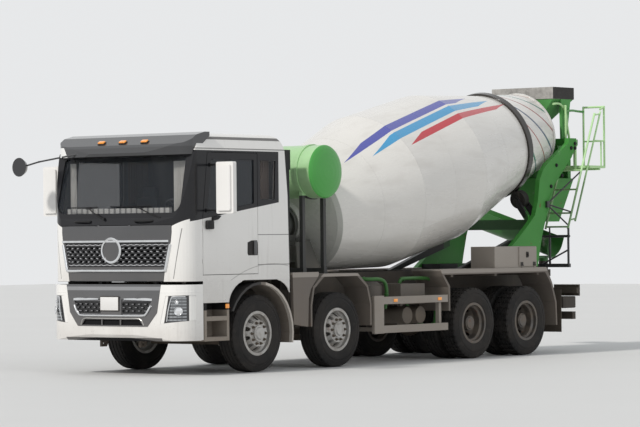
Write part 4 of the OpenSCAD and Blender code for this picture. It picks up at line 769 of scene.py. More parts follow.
for names, mat in (
    ("cab_shell", cabPaint(cabLook)),
    ("door_left door_right", doorPaint(cabLook)),
    ("mirror", plainPaint("mirrorPaint", (0.78, 0.765, 0.74), 0.25, 0, 0.2, specular=0.4, cloud=1,
                          zones=zones["mirrorArms"])),
    ("bumper", bumperPaint(bumperLook)),
    ("bumper_insert", insertPaint(insertLook)),
    ("front_lid", paints["grey"]),
    ("visor", visorPaint(visorLook)),
    ("grille", grillePaint(grilleLook)),
    ("air_intake", paints["black"]),
    ("steps", plainPaint("stepPaint", (0.30, 0.27, 0.235), 0.55, 0, specular=0.3, cloud=1, grain=(0.2, 160),
                         zones=zones["steps"])),
    ("frame_rails rear_bar", paints["chassis"]),
    ("tank_stand", standPaint()),
    ("powertrain front_axles rear_axles roller knuckle", paints["castMetal"]),
    ("fenders", plainPaint("fenderPaint", (0.125, 0.109, 0.096), 0.5, 0, 0.5, cloud=1, rust=0.5,
                           zones=zones["fenders"])),
    ("front_mudguards", plainPaint("mudguardPaint", (0.16, 0.14, 0.123), 0.5, 0, 0.6, cloud=1,
                                   zones=zones["mudguards"])),
    ("side_guards toolbox", plainPaint("guardPale", tones["dustyTaupe"], 0.5, 0, 0.45)),
    ("side_tanks", plainPaint("tankGrey", (0.085, 0.08, 0.074), 0.5, 0, 0.8)),
    ("water_tank", waterTankPaint()),
    ("front_pedestal", plainPaint("gearboxGrey", (0.05, 0.055, 0.05), 0.5, 0.1, 0.8)),
    ("rear_pedestal", greenSteel("pedestalPaint", tones["green"], 0.45, 0.42, 0.05, 0.25,
                                 zones["rearPedestal"])),
    # a darker green than the mixer's, painted shade, with cement splashes
    ("chute", greenSteel("chuteShadedGreen", (0.035, 0.15, 0.03), 0.9)),
    ("hopper", hopperPaint(hopperLook)),
    ("platform", paints["railGreen"]),
    ("ladder", ladderPaint(ladderLook)),
    ("drum", drumPaint(drumLook)),
    ("cab_interior", plainPaint("cabinPlastic", (0.07, 0.07, 0.075), 0.6, 0, 0, grain=(0.2, 240))),
    ("cab_glass", paneGlass("screenGlass", 0.22)),
    ("door_glass", paneGlass("doorGlass", 0.62)),
    ("headlamps", lampHousing(housingLook)),
    ("tyre", paints["rubber"]),
):
    for start in names.split():
        wear(start, mat)
wear("rim", paints["rimSilver"], "12")
wear("rim", paints["rimDark"], "34")
print("finishes on the frame's nodes")


# tools for the pieces
def turned(direction, start="Z"):
    # a turn that points the start axis along a direction
    return Vector(direction).to_track_quat(start, "Y" if start == "Z" else "Z").to_matrix().to_4x4()


def addRod(bm, a, b, r, segments=12, r2=None):
    a, b = Vector(a), Vector(b)
    place = Matrix.Translation((a + b) / 2) @ turned(b - a)
    bmesh.ops.create_cone(bm, cap_ends=True, segments=segments, radius1=r, radius2=r if r2 is None else r2,
                          depth=(b - a).length, matrix=place)


def bevelEdges(bm, edges, width, segments=2):
    bmesh.ops.bevel(bm, geom=edges, offset=width, offset_type="OFFSET", affect="EDGES", segments=segments,
                    profile=0.5, material=-1, clamp_overlap=True)


def addBlock(bm, low, high, round=0.004, segments=2, place=None):
    low, high = Vector(low), Vector(high)
    move = (place or Matrix()) @ Matrix.Translation((low + high) / 2) @ Matrix.Diagonal((*(high - low), 1))
    made = bmesh.ops.create_cube(bm, size=1, matrix=move)
    if round:
        bevelEdges(bm, list({e for v in made["verts"] for e in v.link_edges}), round, segments)


def addLine(bm, points):
    verts = [bm.verts.new(p) for p in points]
    return verts, [bm.edges.new(pair) for pair in zip(verts, verts[1:])]


def spinLine(bm, points, middle, axis, steps, angle=360, climb=(0, 0, 0)):
    # a line of points turned round an axis, all the way round or climbing along it
    verts, edges = addLine(bm, points)
    bmesh.ops.spin(bm, geom=verts + edges, cent=middle, axis=axis, angle=math.radians(angle), steps=steps,
                   dvec=climb, use_merge=angle == 360)


def growEdges(bm, edges, move):
    grown = bmesh.ops.extrude_edge_only(bm, edges=edges)["geom"]
    verts = [g for g in grown if isinstance(g, bmesh.types.BMVert)]
    bmesh.ops.translate(bm, verts=verts, vec=move)
    return verts, [g for g in grown if isinstance(g, bmesh.types.BMEdge)]


def addPipe(bm, points, r, segments=10):
    # a ring carried along a path from point to point, turned halfway into each bend
    points = [Vector(p) for p in points]
    ways = [(b - a).normalized() for a, b in zip(points, points[1:])]
    made = bmesh.ops.create_circle(bm, cap_ends=True, segments=segments, radius=r,
                                   matrix=Matrix.Translation(points[0]) @ turned(points[1] - points[0]))
    edges = [e for e in bm.edges if all(v in made["verts"] for v in e.verts)]
    facing = ways[0]
    for way, after, a, b in zip(ways, [*ways[1:], ways[-1]], points, points[1:]):
        ring, edges = growEdges(bm, edges, b - a)
        middle = (way + after).normalized()
        bmesh.ops.rotate(bm, verts=ring, cent=b, matrix=facing.rotation_difference(middle).to_matrix())
        facing = middle
    bmesh.ops.edgeloop_fill(bm, edges=edges)


def addPlate(bm, outline, depth, round=0.0, segments=2):
    # a flat outline pushed along a direction, with its rim rounded
    face = bm.faces.new([bm.verts.new(p) for p in outline])
    grown = bmesh.ops.extrude_face_region(bm, geom=[face])["geom"]
    verts = [g for g in grown if isinstance(g, bmesh.types.BMVert)]
    bmesh.ops.translate(bm, verts=verts, vec=Vector(depth))
    if round:
        rim = [e for v in verts for e in v.link_edges if all(w in verts for w in e.verts)]
        bevelEdges(bm, list(set(rim)), round, segments)


def curve(points, steps=6):
    # a smooth path through the points
    points = [Vector(p) for p in points]
    ends = [2 * points[0] - points[1], *points, 2 * points[-1] - points[-2]]
    path = []
    for a, b, c, d in zip(ends, ends[1:], ends[2:], ends[3:]):
        for k in range(steps):
            t = k / steps
            path.append(0.5 * (2 * b + (c - a) * t + (2 * a - 5 * b + 4 * c - d) * t * t
                               + (3 * b - a - 3 * c + d) * t ** 3))
    return path + [points[-1]]


def addBentPipe(bm, places, r, steps=4, segments=12):
    addPipe(bm, curve([at(*q) for q in places], steps), r, segments)


def addFaceLine(bm, face, places, out, r, steps=3, segments=10):
    # a round strip along a bulging face, through places across and height
    addBentPipe(bm, [(faceX(face, y, z) + out, y, z) for y, z in places], r, steps, segments)


def acrossBoth(places):
    # places on the left, carried over the middle to the right
    return [(-y, z) for y, z in places] + [(0, places[-1][1])] + list(reversed(places))


def bothSides(bm):
    geom = bm.verts[:] + bm.edges[:] + bm.faces[:]
    bmesh.ops.mirror(bm, geom=geom, matrix=Matrix(), merge_dist=-1, axis="Y")


def toSide(bm, sign):
    # moves a shape that was drawn on the left to its own side
    if sign < 0:
        bmesh.ops.scale(bm, verts=bm.verts, vec=(1, -1, 1))


def addMesh(name, bm, mat):
    mesh = bpy.data.meshes.new(name)
    bm.to_mesh(mesh)
    bm.free()
    mesh.materials.append(mat)
    return addObject(name, mesh)


def makePiece(name, bm, paint, body, smooth=35):
    bmesh.ops.remove_doubles(bm, verts=bm.verts, dist=1e-6)
    bmesh.ops.recalc_face_normals(bm, faces=bm.faces)
    for face in bm.faces:
        face.smooth = True
    for edge in bm.edges:
        edge.smooth = len(edge.link_faces) == 2 and edge.calc_face_angle(0) < math.radians(smooth)
    piece = addMesh(name, bm, paints[paint])
    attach(piece, body)
    return piece


# wheels
wheels = {
    "axles": (0.0, -1.8, -5.11, -6.51),
    "single": (1.0345,),
    "twin": (1.0875, 0.7375),
    "tyre": 0.5385,
    "half": 0.1575,
    "bead": 0.288,
    "steps": 108,
    # the side wall: out from the bead, in from the tyre's side; then in from the tread and the side
    "wall": ((0, 0.052), (0.012, 0.03), (0.03, 0.019), (0.036, 0.014), (0.05, 0.011), (0.1, 0.001),
             (0.135, 0), (0.139, 0.004), (0.168, 0.007), (0.172, 0.003)),
    "shoulder": ((0.05, 0.014), (0.026, 0.02), (0.006, 0.03)),
    "grooves": (0.088, 0.032, -0.032, -0.088),
    "grooveHalf": 0.006,
    "grooveDepth": 0.014,
    "crown": 0.35,
    "lugDepth": 0.011,
    # across from and to, and every how many faces one is sunk; the lugs' rule reaches from a twin's inner
    # tyre to its outer one, which so gets cuts right across its tread
    "lugs": (0.096, 1, 3),
    "blocks": (0.04, 0.08, 4),
    "nutRing": 0.1475,
    "nutFace": (0.1505, -0.1745),         # out from the mid plane: front naves, rear naves
    # washer, nut and stud: from, to, radius, sides
    "nut": ((0, 0.005, 0.021, 12), (0.0045, 0.026, 0.0165, 6), (0.0255, 0.04, 0.010, 8)),
    "valve": ((0.195, -0.035, 0.07), (0.21, -0.01, 0.078), (0.228, 0.02, 0.086)),
    "valveR": 0.005,
}


def tyreOutline(c):
    # radius and place across the tyre, from one bead over the tread to the other
    r, w, deep = c["tyre"], c["grooveHalf"], c["grooveDepth"]
    wall = [(c["bead"] + out, c["half"] - back) for out, back in c["wall"]]
    wall += [(r - down, c["half"] - back) for down, back in c["shoulder"]]
    tread = []
    for g in c["grooves"]:
        top = r - g * g * c["crown"]
        tread += [(top, g + w), (top - deep, g + w * 0.6), (top - deep, g - w * 0.6), (top, g - w)]
    return wall + tread + [(a, -b) for a, b in reversed(wall)]


def addTyre(bm, middle, c, steered):
    points = [middle + Vector((0, across, r)) for r, across in tyreOutline(c)]
    spinLine(bm, points, middle, (0, 1, 0), c["steps"])
    # shoulder lugs, and the drive tread's blocks: some of the faces are sunk, the two sides in turn
    sunk = []
    for face in bm.faces:
        mid = face.calc_center_median() - middle
        r = math.hypot(mid.x, mid.z)
        if c["tyre"] - 0.03 <= r <= c["tyre"] + 0.01 and abs(face.normal.y) <= 0.9:
            share = (math.atan2(mid.z, mid.x) + math.pi) / (2 * math.pi)
            turn = int(share * c["steps"] + (0.5 if mid.y > 0 else 1.5))
            rows = (c["lugs"],) if steered else (c["lugs"], c["blocks"])
            if any(low < abs(mid.y) < high and turn % every == 0 for low, high, every in rows):
                sunk.append(face)
    for face in sunk:
        for top in bmesh.ops.extrude_discrete_faces(bm, faces=[face])["faces"]:
            for v in top.verts:
                v.co -= Vector((v.co.x - middle.x, 0, v.co.z - middle.z)).normalized() * c["lugDepth"]


def eachWheel(c):
    for side, sign in sides:
        for i, x in enumerate(c["axles"]):
            yield f"{side}_{i + 1}", sign, x, i < 2


def makeTyres(c):
    for end, sign, x, steered in eachWheel(c):
        bm = bmesh.new()
        for y in c["single"] if steered else c["twin"]:
            addTyre(bm, at(x, y * sign, c["tyre"]), c, steered)
        piece = makePiece(f"treadTyre_{end}", bm, "rubber", f"wheel_{end}", 40)
        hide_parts(f"tyre_{end}")


def makeWheelNuts(c):
    for end, sign, x, steered in eachWheel(c):
        face = c["single"][0] + c["nutFace"][0] if steered else c["twin"][0] + c["nutFace"][1]
        bm = bmesh.new()
        for k in range(10):
            a = math.radians(36 * k)
            foot = at(x + c["nutRing"] * math.cos(a), face, c["tyre"] + c["nutRing"] * math.sin(a))
            for low, high, r, count in c["nut"]:
                addRod(bm, foot + Vector((0, low, 0)), foot + Vector((0, high, 0)), r, count)
        addPipe(bm, curve([at(x, face, c["tyre"]) + Vector(p) for p in c["valve"]], 3), c["valveR"], 6)
        toSide(bm, sign)
        makePiece(f"wheelNuts_{end}", bm, "castMetal" if steered else "rimDark", f"wheel_{end}")


makeTyres(wheels)
makeWheelNuts(wheels)
print("tyres and wheel nuts")


# windscreen wipers, handles and lamps over the cab's face
front = {
    # pivot across and height, where the arm meets the blade, the blade's two ends and its height
    "wipers": (
        ((-0.205, 2.138), (-0.52, 2.285), (-0.98, -0.365), 2.302),
        ((0.786, 2.146), (0.41, 2.285), (-0.125, 0.60), 2.308),
    ),
    "boss": (-0.016, 0.038, 0.021, 0.017),    # out from the face at foot and tip, radius at both
    "armStart": 0.028,
    "armR": 0.0085,
    "armOut": 0.016,
    "meetOut": 0.03,
    "clipHalf": Vector((0.012, 0.05, 0.009)),
    "bladeSteps": 10,
    "blade": ((0.010, 0.007, 0), (0.021, 0.006, 1)),    # rubber and its back: out, radius, steps off each end
    "handles": ((-0.76, -0.445), (0.364, 0.692)),
    "handleZ": 2.108,
    "handleR": 0.012,
    # in from the handle's end, out from the face
    "handleBend": ((0, -0.006), (0.006, 0.03), (0.05, 0.046)),
    "handleOut": 0.05,
    "lamps": (-0.38, 0.01, 0.41),
    "lampFoot": (1.452, 3.178),
    "lampLean": 30,
    # foot and glass of a lamp on the visor: two corners, round edge and its steps
    "lampBase": ((-0.035, -0.062, -0.006), (0.035, 0.062, 0.014), 0.008, 3),
    "lampGlass": ((-0.028, -0.055, 0.0135), (0.028, 0.055, 0.036), 0.011, 4),
}


def makeWipers(c):
    bm = bmesh.new()
    for (py, pz), (my, mz), (y0, y1), z in c["wipers"]:
        face = faceX(cabFace, py, pz)
        back, out, r0, r1 = c["boss"]
        addRod(bm, at(face + back, py, pz), at(face + out, py, pz + 0.004), r0, 16, r1)
        start = at(face + c["armStart"], py, pz)
        meet = at(faceX(cabFace, my, mz) + c["meetOut"], my, mz)
        middle = (start + meet) / 2 + Vector((c["armOut"], 0, 0))
        addPipe(bm, curve([start, middle, meet], 5), c["armR"], 6)
        addBlock(bm, meet - c["clipHalf"], meet + c["clipHalf"], 0.003)
        steps = c["bladeSteps"]
        for out, r, less in c["blade"]:
            places = [y0 + (y1 - y0) * k / steps for k in range(less, steps + 1 - less)]
            addPipe(bm, [at(faceX(cabFace, y, z) + out, y, z) for y in places], r, 6)
    makePiece("wipers", bm, "black", "cab")


def makeCabHandles(c):
    bm = bmesh.new()
    z = c["handleZ"]
    for y0, y1 in c["handles"]:
        ends = [(y0 + back, out) for back, out in c["handleBend"]] + [((y0 + y1) / 2, c["handleOut"])]
        ends += [(y1 - back, out) for back, out in reversed(c["handleBend"])]
        addBentPipe(bm, [(faceX(cabFace, y, z) + out, y, z) for y, out in ends], c["handleR"], 4, 10)
    makePiece("cabHandles", bm, "black", "cab")


def makeVisorLamps(c):
    x, z = c["lampFoot"]
    for name, shape, paint, slot in (
        ("visorLamps", c["lampGlass"], "amber", "lamp_glass"),
        ("visorLampFeet", c["lampBase"], "black", "black_plastic"),
    ):
        bm = bmesh.new()
        for y in c["lamps"]:
            lean = Matrix.Translation(at(x, y, z)) @ Matrix.Rotation(math.radians(c["lampLean"]), 4, "Y")
            addBlock(bm, *shape, lean)
        makePiece(name, bm, paint, "cab")


makeWipers(front)
makeCabHandles(front)
makeVisorLamps(front)
print("wipers, handles and visor lamps")


# bright lines over and under the grille, and the blank ring on the lid
nose = {
    "topLine": (1.832, -1.0, 0.96, 0.013),    # height, two ends, half height
    "topSteps": 24,
    "topOut": (-0.012, 0.026),            # behind the lid's face, and deep
    # the lower strip turns up at both ends beside the grille: across and height, one side
    "lowLine": ((0.985, 1.79), (0.93, 1.56), (0.905, 1.46), (0.87, 1.43), (0.6, 1.43), (0.3, 1.43)),
    "lowOut": 0.005,
    "lowR": 0.020,
    "ringAt": (-0.042, 1.707, -0.008),    # across, height, out from the lid's face
    "ring": ((0.150, 0), (0.153, 0.022), (0.174, 0.026), (0.186, 0.016), (0.186, 0)),    # radius and out
    "ringPlate": (0.152, 0.006),
    "plateRim": {"thickness": 0.03, "depth": 0.006},
    "ringSquash": 0.96,
}


def lidX(y, z):
    # the lid has no round corners
    return middleX(cabFace, z) - y * y / cabFace["crown"]


def makeNoseTrim(c):
    bm = bmesh.new()
    z, y0, y1, half = c["topLine"]
    back, deep = c["topOut"]
    ys = [y0 + (y1 - y0) * k / c["topSteps"] for k in range(c["topSteps"] + 1)]
    for a, b in zip(ys, ys[1:]):
        pa, pb = (at(lidX(y, z) + back, y, z - half) for y in (a, b))
        out = Vector((deep, 0, 0))
        addPlate(bm, [pa, pb, pb + out, pa + out], (0, 0, half * 2))
    bmesh.ops.remove_doubles(bm, verts=bm.verts, dist=1e-5)
    addBentPipe(bm, [(lidX(y, z) + c["lowOut"], y, z) for y, z in acrossBoth(c["lowLine"])], c["lowR"], 3, 10)
    makePiece("grilleLines", bm, "chrome", "front_lid", 50)
    # the ring and the plate in it
    y, z, out = c["ringAt"]
    foot = at(lidX(y, z) + out, y, z)
    squash = {"vec": (1, 1, c["ringSquash"]), "space": Matrix.Translation(-foot)}
    bm = bmesh.new()
    spinLine(bm, [foot + Vector((out, r, 0)) for r, out in c["ring"]], foot, (1, 0, 0), 64)
    bmesh.ops.scale(bm, verts=bm.verts, **squash)
    makePiece("blankRing", bm, "chrome", "front_lid")
    r, out = c["ringPlate"]
    bm = bmesh.new()
    bmesh.ops.create_circle(bm, cap_ends=True, segments=48, radius=r,
                            matrix=Matrix.Translation(foot + Vector((out, 0, 0))) @ turned((1, 0, 0)))
    bmesh.ops.inset_region(bm, faces=bm.faces[:], **c["plateRim"])
    bmesh.ops.scale(bm, verts=bm.verts, **squash)
    makePiece("ringPlate", bm, "grey", "front_lid")


makeNoseTrim(nose)
print("nose trim")


# the bumper's strips, slot rim and plate
bumperTrim = {
    # two wedges that thicken outwards: across and half thickness at both ends
    "wedge": ((0.235, 0.008), (0.72, 0.021)),
    "wedgeZ": 1.046,
    "wedgeSteps": 8,
    "wedgeOut": (-0.004, 0.018),          # behind the bumper's face, and deep
    "lineOut": 0.004,
    # the line under them and the slot's rim turn at their ends: across and height, one side
    "lower": ((0.70, 0.96), (0.665, 0.90), (0.62, 0.845), (0.56, 0.822), (0.3, 0.820)),
    "lowerR": 0.014,
    "slot": ((0.575, 0.69), (0.515, 0.775), (0.3, 0.779)),
    "slotR": 0.010,
    "plate": (-0.018, 0.982, 0.162, 0.09),    # across, height, half width and half height
    # name, rim past the plate, from and to out of the face, round edge, paint and slot
    "plates": (
        ("plateHolder", 0.012, 0.004, 0.016, 0.004, "black", "black_plastic"),
        ("blankPlate", 0, 0.0165, 0.0195, 0.0012, "white", "cab_white"),
    ),
}


def makeBumperTrim(c):
    bm = bmesh.new()
    (ya, thin), (yb, thick) = c["wedge"]
    steps = c["wedgeSteps"]
    back, deep = c["wedgeOut"]
    for sign in (-1, 1):
        for k in range(steps):
            corners = []
            for step, way in ((k, 1), (k + 1, 1), (k + 1, -1), (k, -1)):
                y = sign * (ya + (yb - ya) * step / steps)
                z = c["wedgeZ"] + way * (thin + (thick - thin) * step / steps)
                corners.append(at(faceX(bumperFace, y, z) + back, y, z))
            addPlate(bm, corners, (deep, 0, 0))
    addFaceLine(bm, bumperFace, acrossBoth(c["lower"]), c["lineOut"], c["lowerR"])
    makePiece("bumperStrips", bm, "chrome", "chassis")
    bm = bmesh.new()
    addFaceLine(bm, bumperFace, acrossBoth(c["slot"]), c["lineOut"], c["slotR"], segments=8)
    makePiece("slotRim", bm, "steel", "chassis")
    y, z, halfY, halfZ = c["plate"]
    x = faceX(bumperFace, y, z)
    for name, rim, back, out, edge, paint, slot in c["plates"]:
        bm = bmesh.new()
        low = at(x + back, y - halfY - rim, z - halfZ - rim)
        addBlock(bm, low, at(x + out, y + halfY + rim, z + halfZ + rim), edge)
        makePiece(name, bm, paint, "chassis")


makeBumperTrim(bumperTrim)
print("bumper trim")


# headlamps: the bright strip inside each cover and the round lenses
lampTrim = {
    "strip": ((0.962, 0.745), (0.995, 0.90), (1.028, 1.06), (1.05, 1.078), (1.10, 1.08), (1.185, 1.08)),
    "stripOut": 0.006,
    "stripR": 0.008,
    "lens": ((1.125, 0.885, 0.062), (1.10, 1.005, 0.030)),    # across, height, radius
    # the lens ring's outline: in from the radius, out from the cover
    "ring": ((0.012, 0.002), (0.010, 0.011), (0.004, 0.013), (0, 0.003)),
    "lensIn": 0.013,
    "lensDeep": 0.009,
}


def onLampCover(y, z):
    # a place on the bumper's round corner, and the way that it faces
    lean = (y - bumperFace["cornerY"]) / bumperFace["cornerR"]
    return at(faceX(bumperFace, y, z), y, z), Vector((math.sqrt(1 - lean ** 2), lean, 0))


def makeLampTrim(c):
    bm = bmesh.new()
    addFaceLine(bm, bumperFace, c["strip"], c["stripOut"], c["stripR"], 4, 8)
    for y, z, r in c["lens"]:
        foot, axis = onLampCover(y, z)
        side = Vector((-axis.y, axis.x, 0))
        spinLine(bm, [foot + axis * out + side * (r - back) for back, out in c["ring"]], foot, axis, 32)
    bothSides(bm)
    makePiece("lampStrips", bm, "chrome", "chassis")
    bm = bmesh.new()
    for y, z, r in c["lens"]:
        foot, axis = onLampCover(y, z)
        flat = Matrix.Diagonal((r - c["lensIn"], r - c["lensIn"], c["lensDeep"], 1))
        bmesh.ops.create_uvsphere(bm, u_segments=24, v_segments=12, radius=1,
                                  matrix=Matrix.Translation(foot) @ turned(axis) @ flat)
    bothSides(bm)
    makePiece("lampLenses", bm, "mirror", "chassis")


makeLampTrim(lampTrim)
print("headlamp trim")


# white panels under each door, round the wheel arch
sidePanel = {
    "y": (1.2408, 1.2462),
    "front": ((1.238, 1.284), (1.238, 0.985), (0.705, 0.985), (0.695, 1.03), (0.668, 1.09), (0.625, 1.145),
              (0.565, 1.20), (0.49, 1.245), (0.42, 1.27), (0.36, 1.284)),
    "back": ((-0.36, 1.284), (-0.44, 1.262), (-0.52, 1.222), (-0.585, 1.165), (-0.625, 1.10),
             (-0.628, 1.284)),
    "lip": 0.009,
    "lipIn": 0.004,
}


def makeSidePanels(c):
    low, high = c["y"]
    bm = bmesh.new()
    for outline in (c["front"], c["back"]):
        addPlate(bm, [at(x, low, z) for x, z in outline], (0, high - low, 0), 0.001, 1)
    for arch in (c["front"][2:-1], c["back"][:-1]):
        addPipe(bm, [at(x, high - c["lipIn"], z) for x, z in arch], c["lip"], 8)
    bothSides(bm)
    makePiece("archPanels", bm, "panel", "cab")


makeSidePanels(sidePanel)

# mirror feet and faces, and the handles on the doors
doorTrim = {
    "y": (1.245, 1.2455),                 # the door's face, and the pieces' foot on it
    "wedgeDeep": 0.03,
    "recessDeep": 0.0025,
    "barFoot": 0.003,
    "foot": ((1.045, 1.985), (1.19, 2.105), 0.055),
    "wedge": ((1.05, 2.10), (1.05, 2.152), (0.90, 2.172), (0.865, 2.168), (0.93, 2.118)),
    "recess": ((0.075, 1.622), (0.275, 1.622), (0.292, 1.65), (0.288, 1.80), (0.20, 1.828), (0.085, 1.828),
               (0.07, 1.80), (0.068, 1.64)),
    "bar": ((0.10, 1.63), (0.165, 1.82), 0.022),
    "mirrorX": (1.1165, 1.1195),
    "mirrorY": (1.475, 1.725),
    "mirrorZ": ((2.23, 2.62), (2.65, 2.865)),
}


def makeDoorTrim(c):
    face, skin = c["y"]
    for side, sign in sides:
        bm = bmesh.new()
        (x0, z0), (x1, z1), deep = c["foot"]
        addBlock(bm, at(x0, skin, z0), at(x1, face + deep, z1), 0.02, 3)
        addPlate(bm, [at(x, skin, z) for x, z in c["wedge"]], (0, c["wedgeDeep"], 0), 0.008)
        addPlate(bm, [at(x, skin, z) for x, z in c["recess"]], (0, c["recessDeep"], 0), 0.001, 1)
        toSide(bm, sign)
        makePiece(f"doorFeet_{side}", bm, "black", f"door_{side}")
        bm = bmesh.new()
        (x0, z0), (x1, z1), deep = c["bar"]
        addBlock(bm, at(x0, skin + c["barFoot"], z0), at(x1, face + deep, z1), 0.008, 3)
        toSide(bm, sign)
        makePiece(f"doorHandle_{side}", bm, "grey", f"door_{side}")


def makeMirrorFaces(c):
    x0, x1 = c["mirrorX"]
    y0, y1 = c["mirrorY"]
    for side, sign in sides:
        bm = bmesh.new()
        for z0, z1 in c["mirrorZ"]:
            addBlock(bm, at(x0, y0, z0), at(x1, y1, z1), 0.001, 1)
        toSide(bm, sign)
        makePiece(f"mirrorFaces_{side}", bm, "mirror", f"door_{side}")


makeDoorTrim(doorTrim)
makeMirrorFaces(doorTrim)
print("door and mirror trim")


# markers, tail lamps and the black boxes at the tail
lampsLook = {
    "marker": ((0.70, 1.2405, 0.905), (0.775, 1.2545, 0.965)),
    "guardMarkers": (-3.1, -4.2),
    "guardMarker": ((-0.045, 1.2455, 0.905), (0.045, 1.254, 0.95)),
    "tailX": (-8.042, -8.0205),
    "tail": (0.775, 1.215, 0.90, 1.06),
    "gap": 0.006,
    # pieces from the outside in: name, colour, and which third of the lamp
    "lenses": (("amberMarkers", "amber", 2), ("redLamps", "red", 1), ("clearLamps", "clear", 0)),
    "box": ((-7.965, 0.80, 0.70), (-7.60, 1.19, 0.885)),
}


def makeTailLamps(c):
    y0, y1, z0, z1 = c["tail"]
    third = (y1 - y0) / 3
    for name, color, place in c["lenses"]:
        bm = bmesh.new()
        if color == "amber":
            addBlock(bm, *(at(*corner) for corner in c["marker"]), 0.005)
            for x in c["guardMarkers"]:
                addBlock(bm, *(at(x + dx, y, z) for dx, y, z in c["guardMarker"]), 0.003)
        low = y0 + third * place + (c["gap"] if place else 0)
        addBlock(bm, at(c["tailX"][0], low, z0), at(c["tailX"][1], y0 + third * (place + 1), z1), 0.006)
        bothSides(bm)
        makePiece(name, bm, color, "chassis")
    bm = bmesh.new()
    addBlock(bm, *(at(*corner) for corner in c["box"]), 0.02, 3)
    bothSides(bm)
    makePiece("tailBoxes", bm, "black", "chassis")


makeTailLamps(lampsLook)
print("markers and tail lamps")


# green pipes by the battery box and the oil tank
pipesLook = {
    "r": 0.028,
    "paths": (
        ((-2.70, 0.62, 1.24), (-2.74, 0.86, 1.245), (-2.80, 0.98, 1.24), (-2.97, 1.045, 1.238),
         (-3.09, 1.055, 1.19), (-3.13, 1.058, 1.08), (-3.135, 1.05, 0.95), (-3.11, 1.04, 0.80)),
        ((-3.62, 0.93, 1.165), (-3.64, 0.94, 1.215), (-3.72, 0.95, 1.236), (-4.28, 0.95, 1.228),
         (-4.42, 0.95, 1.17), (-4.485, 0.95, 1.04), (-4.49, 0.95, 0.62), (-4.485, 0.90, 0.535),
         (-4.47, 0.78, 0.50), (-4.46, 0.52, 0.66), (-4.46, 0.43, 0.86)),
    ),
    "collars": (1, -3),                   # which stretches of a path carry one
    "collarAt": (0.4, 0.6),
    "collarWall": 0.008,
}


def makePipes(c):
    bm = bmesh.new()
    low, high = c["collarAt"]
    for path in c["paths"]:
        addBentPipe(bm, path, c["r"])
        for i in c["collars"]:
            a, b = at(*path[i]), at(*path[i + 1])
            addRod(bm, a + (b - a) * low, a + (b - a) * high, c["r"] + c["collarWall"], 14)
    makePiece("waterPipes", bm, "pipeGreen", "chassis")


makePipes(pipesLook)

# bent rails from the hopper to the bracket and the platform, and the bolts on the arms
rearLook = {
    "r": 0.019,
    # name, paint, slot and path
    "rails": (
        ("hopperRail", "railGreen", "rail_green",
         ((-8.29, 0.575, 3.975), (-8.41, 0.60, 3.982), (-8.52, 0.60, 3.938), (-8.612, 0.60, 3.826),
          (-8.655, 0.60, 3.62), (-8.69, 0.605, 3.47), (-8.70, 0.61, 3.375))),
        ("upperRail", "green", "mixer_green",
         ((-8.536, 0.65, 3.86), (-8.80, 0.60, 3.88), (-9.02, 0.56, 3.875), (-9.207, 0.553, 3.87))),
    ),
    "armOut": 0.7805,
    "bolts": ((-8.49, 3.262), (-8.60, 3.262), (-8.60, 3.335), (-8.057, 2.978), (-7.897, 2.639),
              (-8.212, 2.816)),
    "bolt": ((0, 0.004, 0.032, 20), (0.0035, 0.02, 0.024, 6)),    # washer and head: from, to, radius, sides
}


def makeRearTrim(c):
    for name, color, slot, path in c["rails"]:
        bm = bmesh.new()
        addBentPipe(bm, path, c["r"])
        makePiece(name, bm, color, "chassis")
    bm = bmesh.new()
    for x, z in c["bolts"]:
        for low, high, r, count in c["bolt"]:
            addRod(bm, at(x, c["armOut"] + low, z), at(x, c["armOut"] + high, z), r, count)
    bothSides(bm)
    makePiece("armBolts", bm, "black", "chassis")


makeRearTrim(rearLook)

# hinges and a latch with its knob on the toolbox lid
toolboxLook = {
    "y": 1.2415,
    "hinges": (-6.38, -6.72),
    "hinge": (0.035, 1.396, 1.447),       # half length, foot and top
    "hingeR": 0.008,
    "latch": (-6.53, 1.56),
    "latchHalf": (0.032, 0.045),
    "knobR": 0.016,
    "gripHalf": (0.007, 0.03),
}


def makeToolboxTrim(c):
    bm = bmesh.new()
    y = c["y"]
    half, foot, top = c["hinge"]
    for x in c["hinges"]:
        addBlock(bm, at(x - half, y, foot), at(x + half, y + 0.006, top), 0.002, 1)
        addRod(bm, at(x - half, y + 0.008, foot), at(x + half, y + 0.008, foot), c["hingeR"], 10)
    x, z = c["latch"]
    addRod(bm, at(x, y + 0.004, z), at(x, y + 0.02, z), c["knobR"], 16)
    for (halfX, halfZ), back, out in ((c["latchHalf"], 0, 0.006), (c["gripHalf"], 0.018, 0.028)):
        addBlock(bm, at(x - halfX, y + back, z - halfZ), at(x + halfX, y + out, z + halfZ), 0.003)
    makePiece("toolboxFittings", bm, "black", "toolbox_lid")


makeToolboxTrim(toolboxLook)
print("pipes and toolbox fittings")


# the drum's two blades, seen in its mouth, and the cover over its manhole
drumTrim = {
    "first": 5.06,
    "length": 0.82,
    "inner": 0.46,
    "cone": (0.795, 0.632),               # the blades' outer radius at both ends
    "turn": 250,
    "steps": 60,
    "wall": 0.006,
    "hatch": (2.45, 2.55, 1.164, 0.19),   # along the drum, turn, out from the axis and radius
    "hatchDeep": 0.022,
    "hatchSlope": 0.006,
    "bolts": (12, 0.03, 0.02, 0.014, 0.012),    # how many, in from the rim, foot, height and radius
}


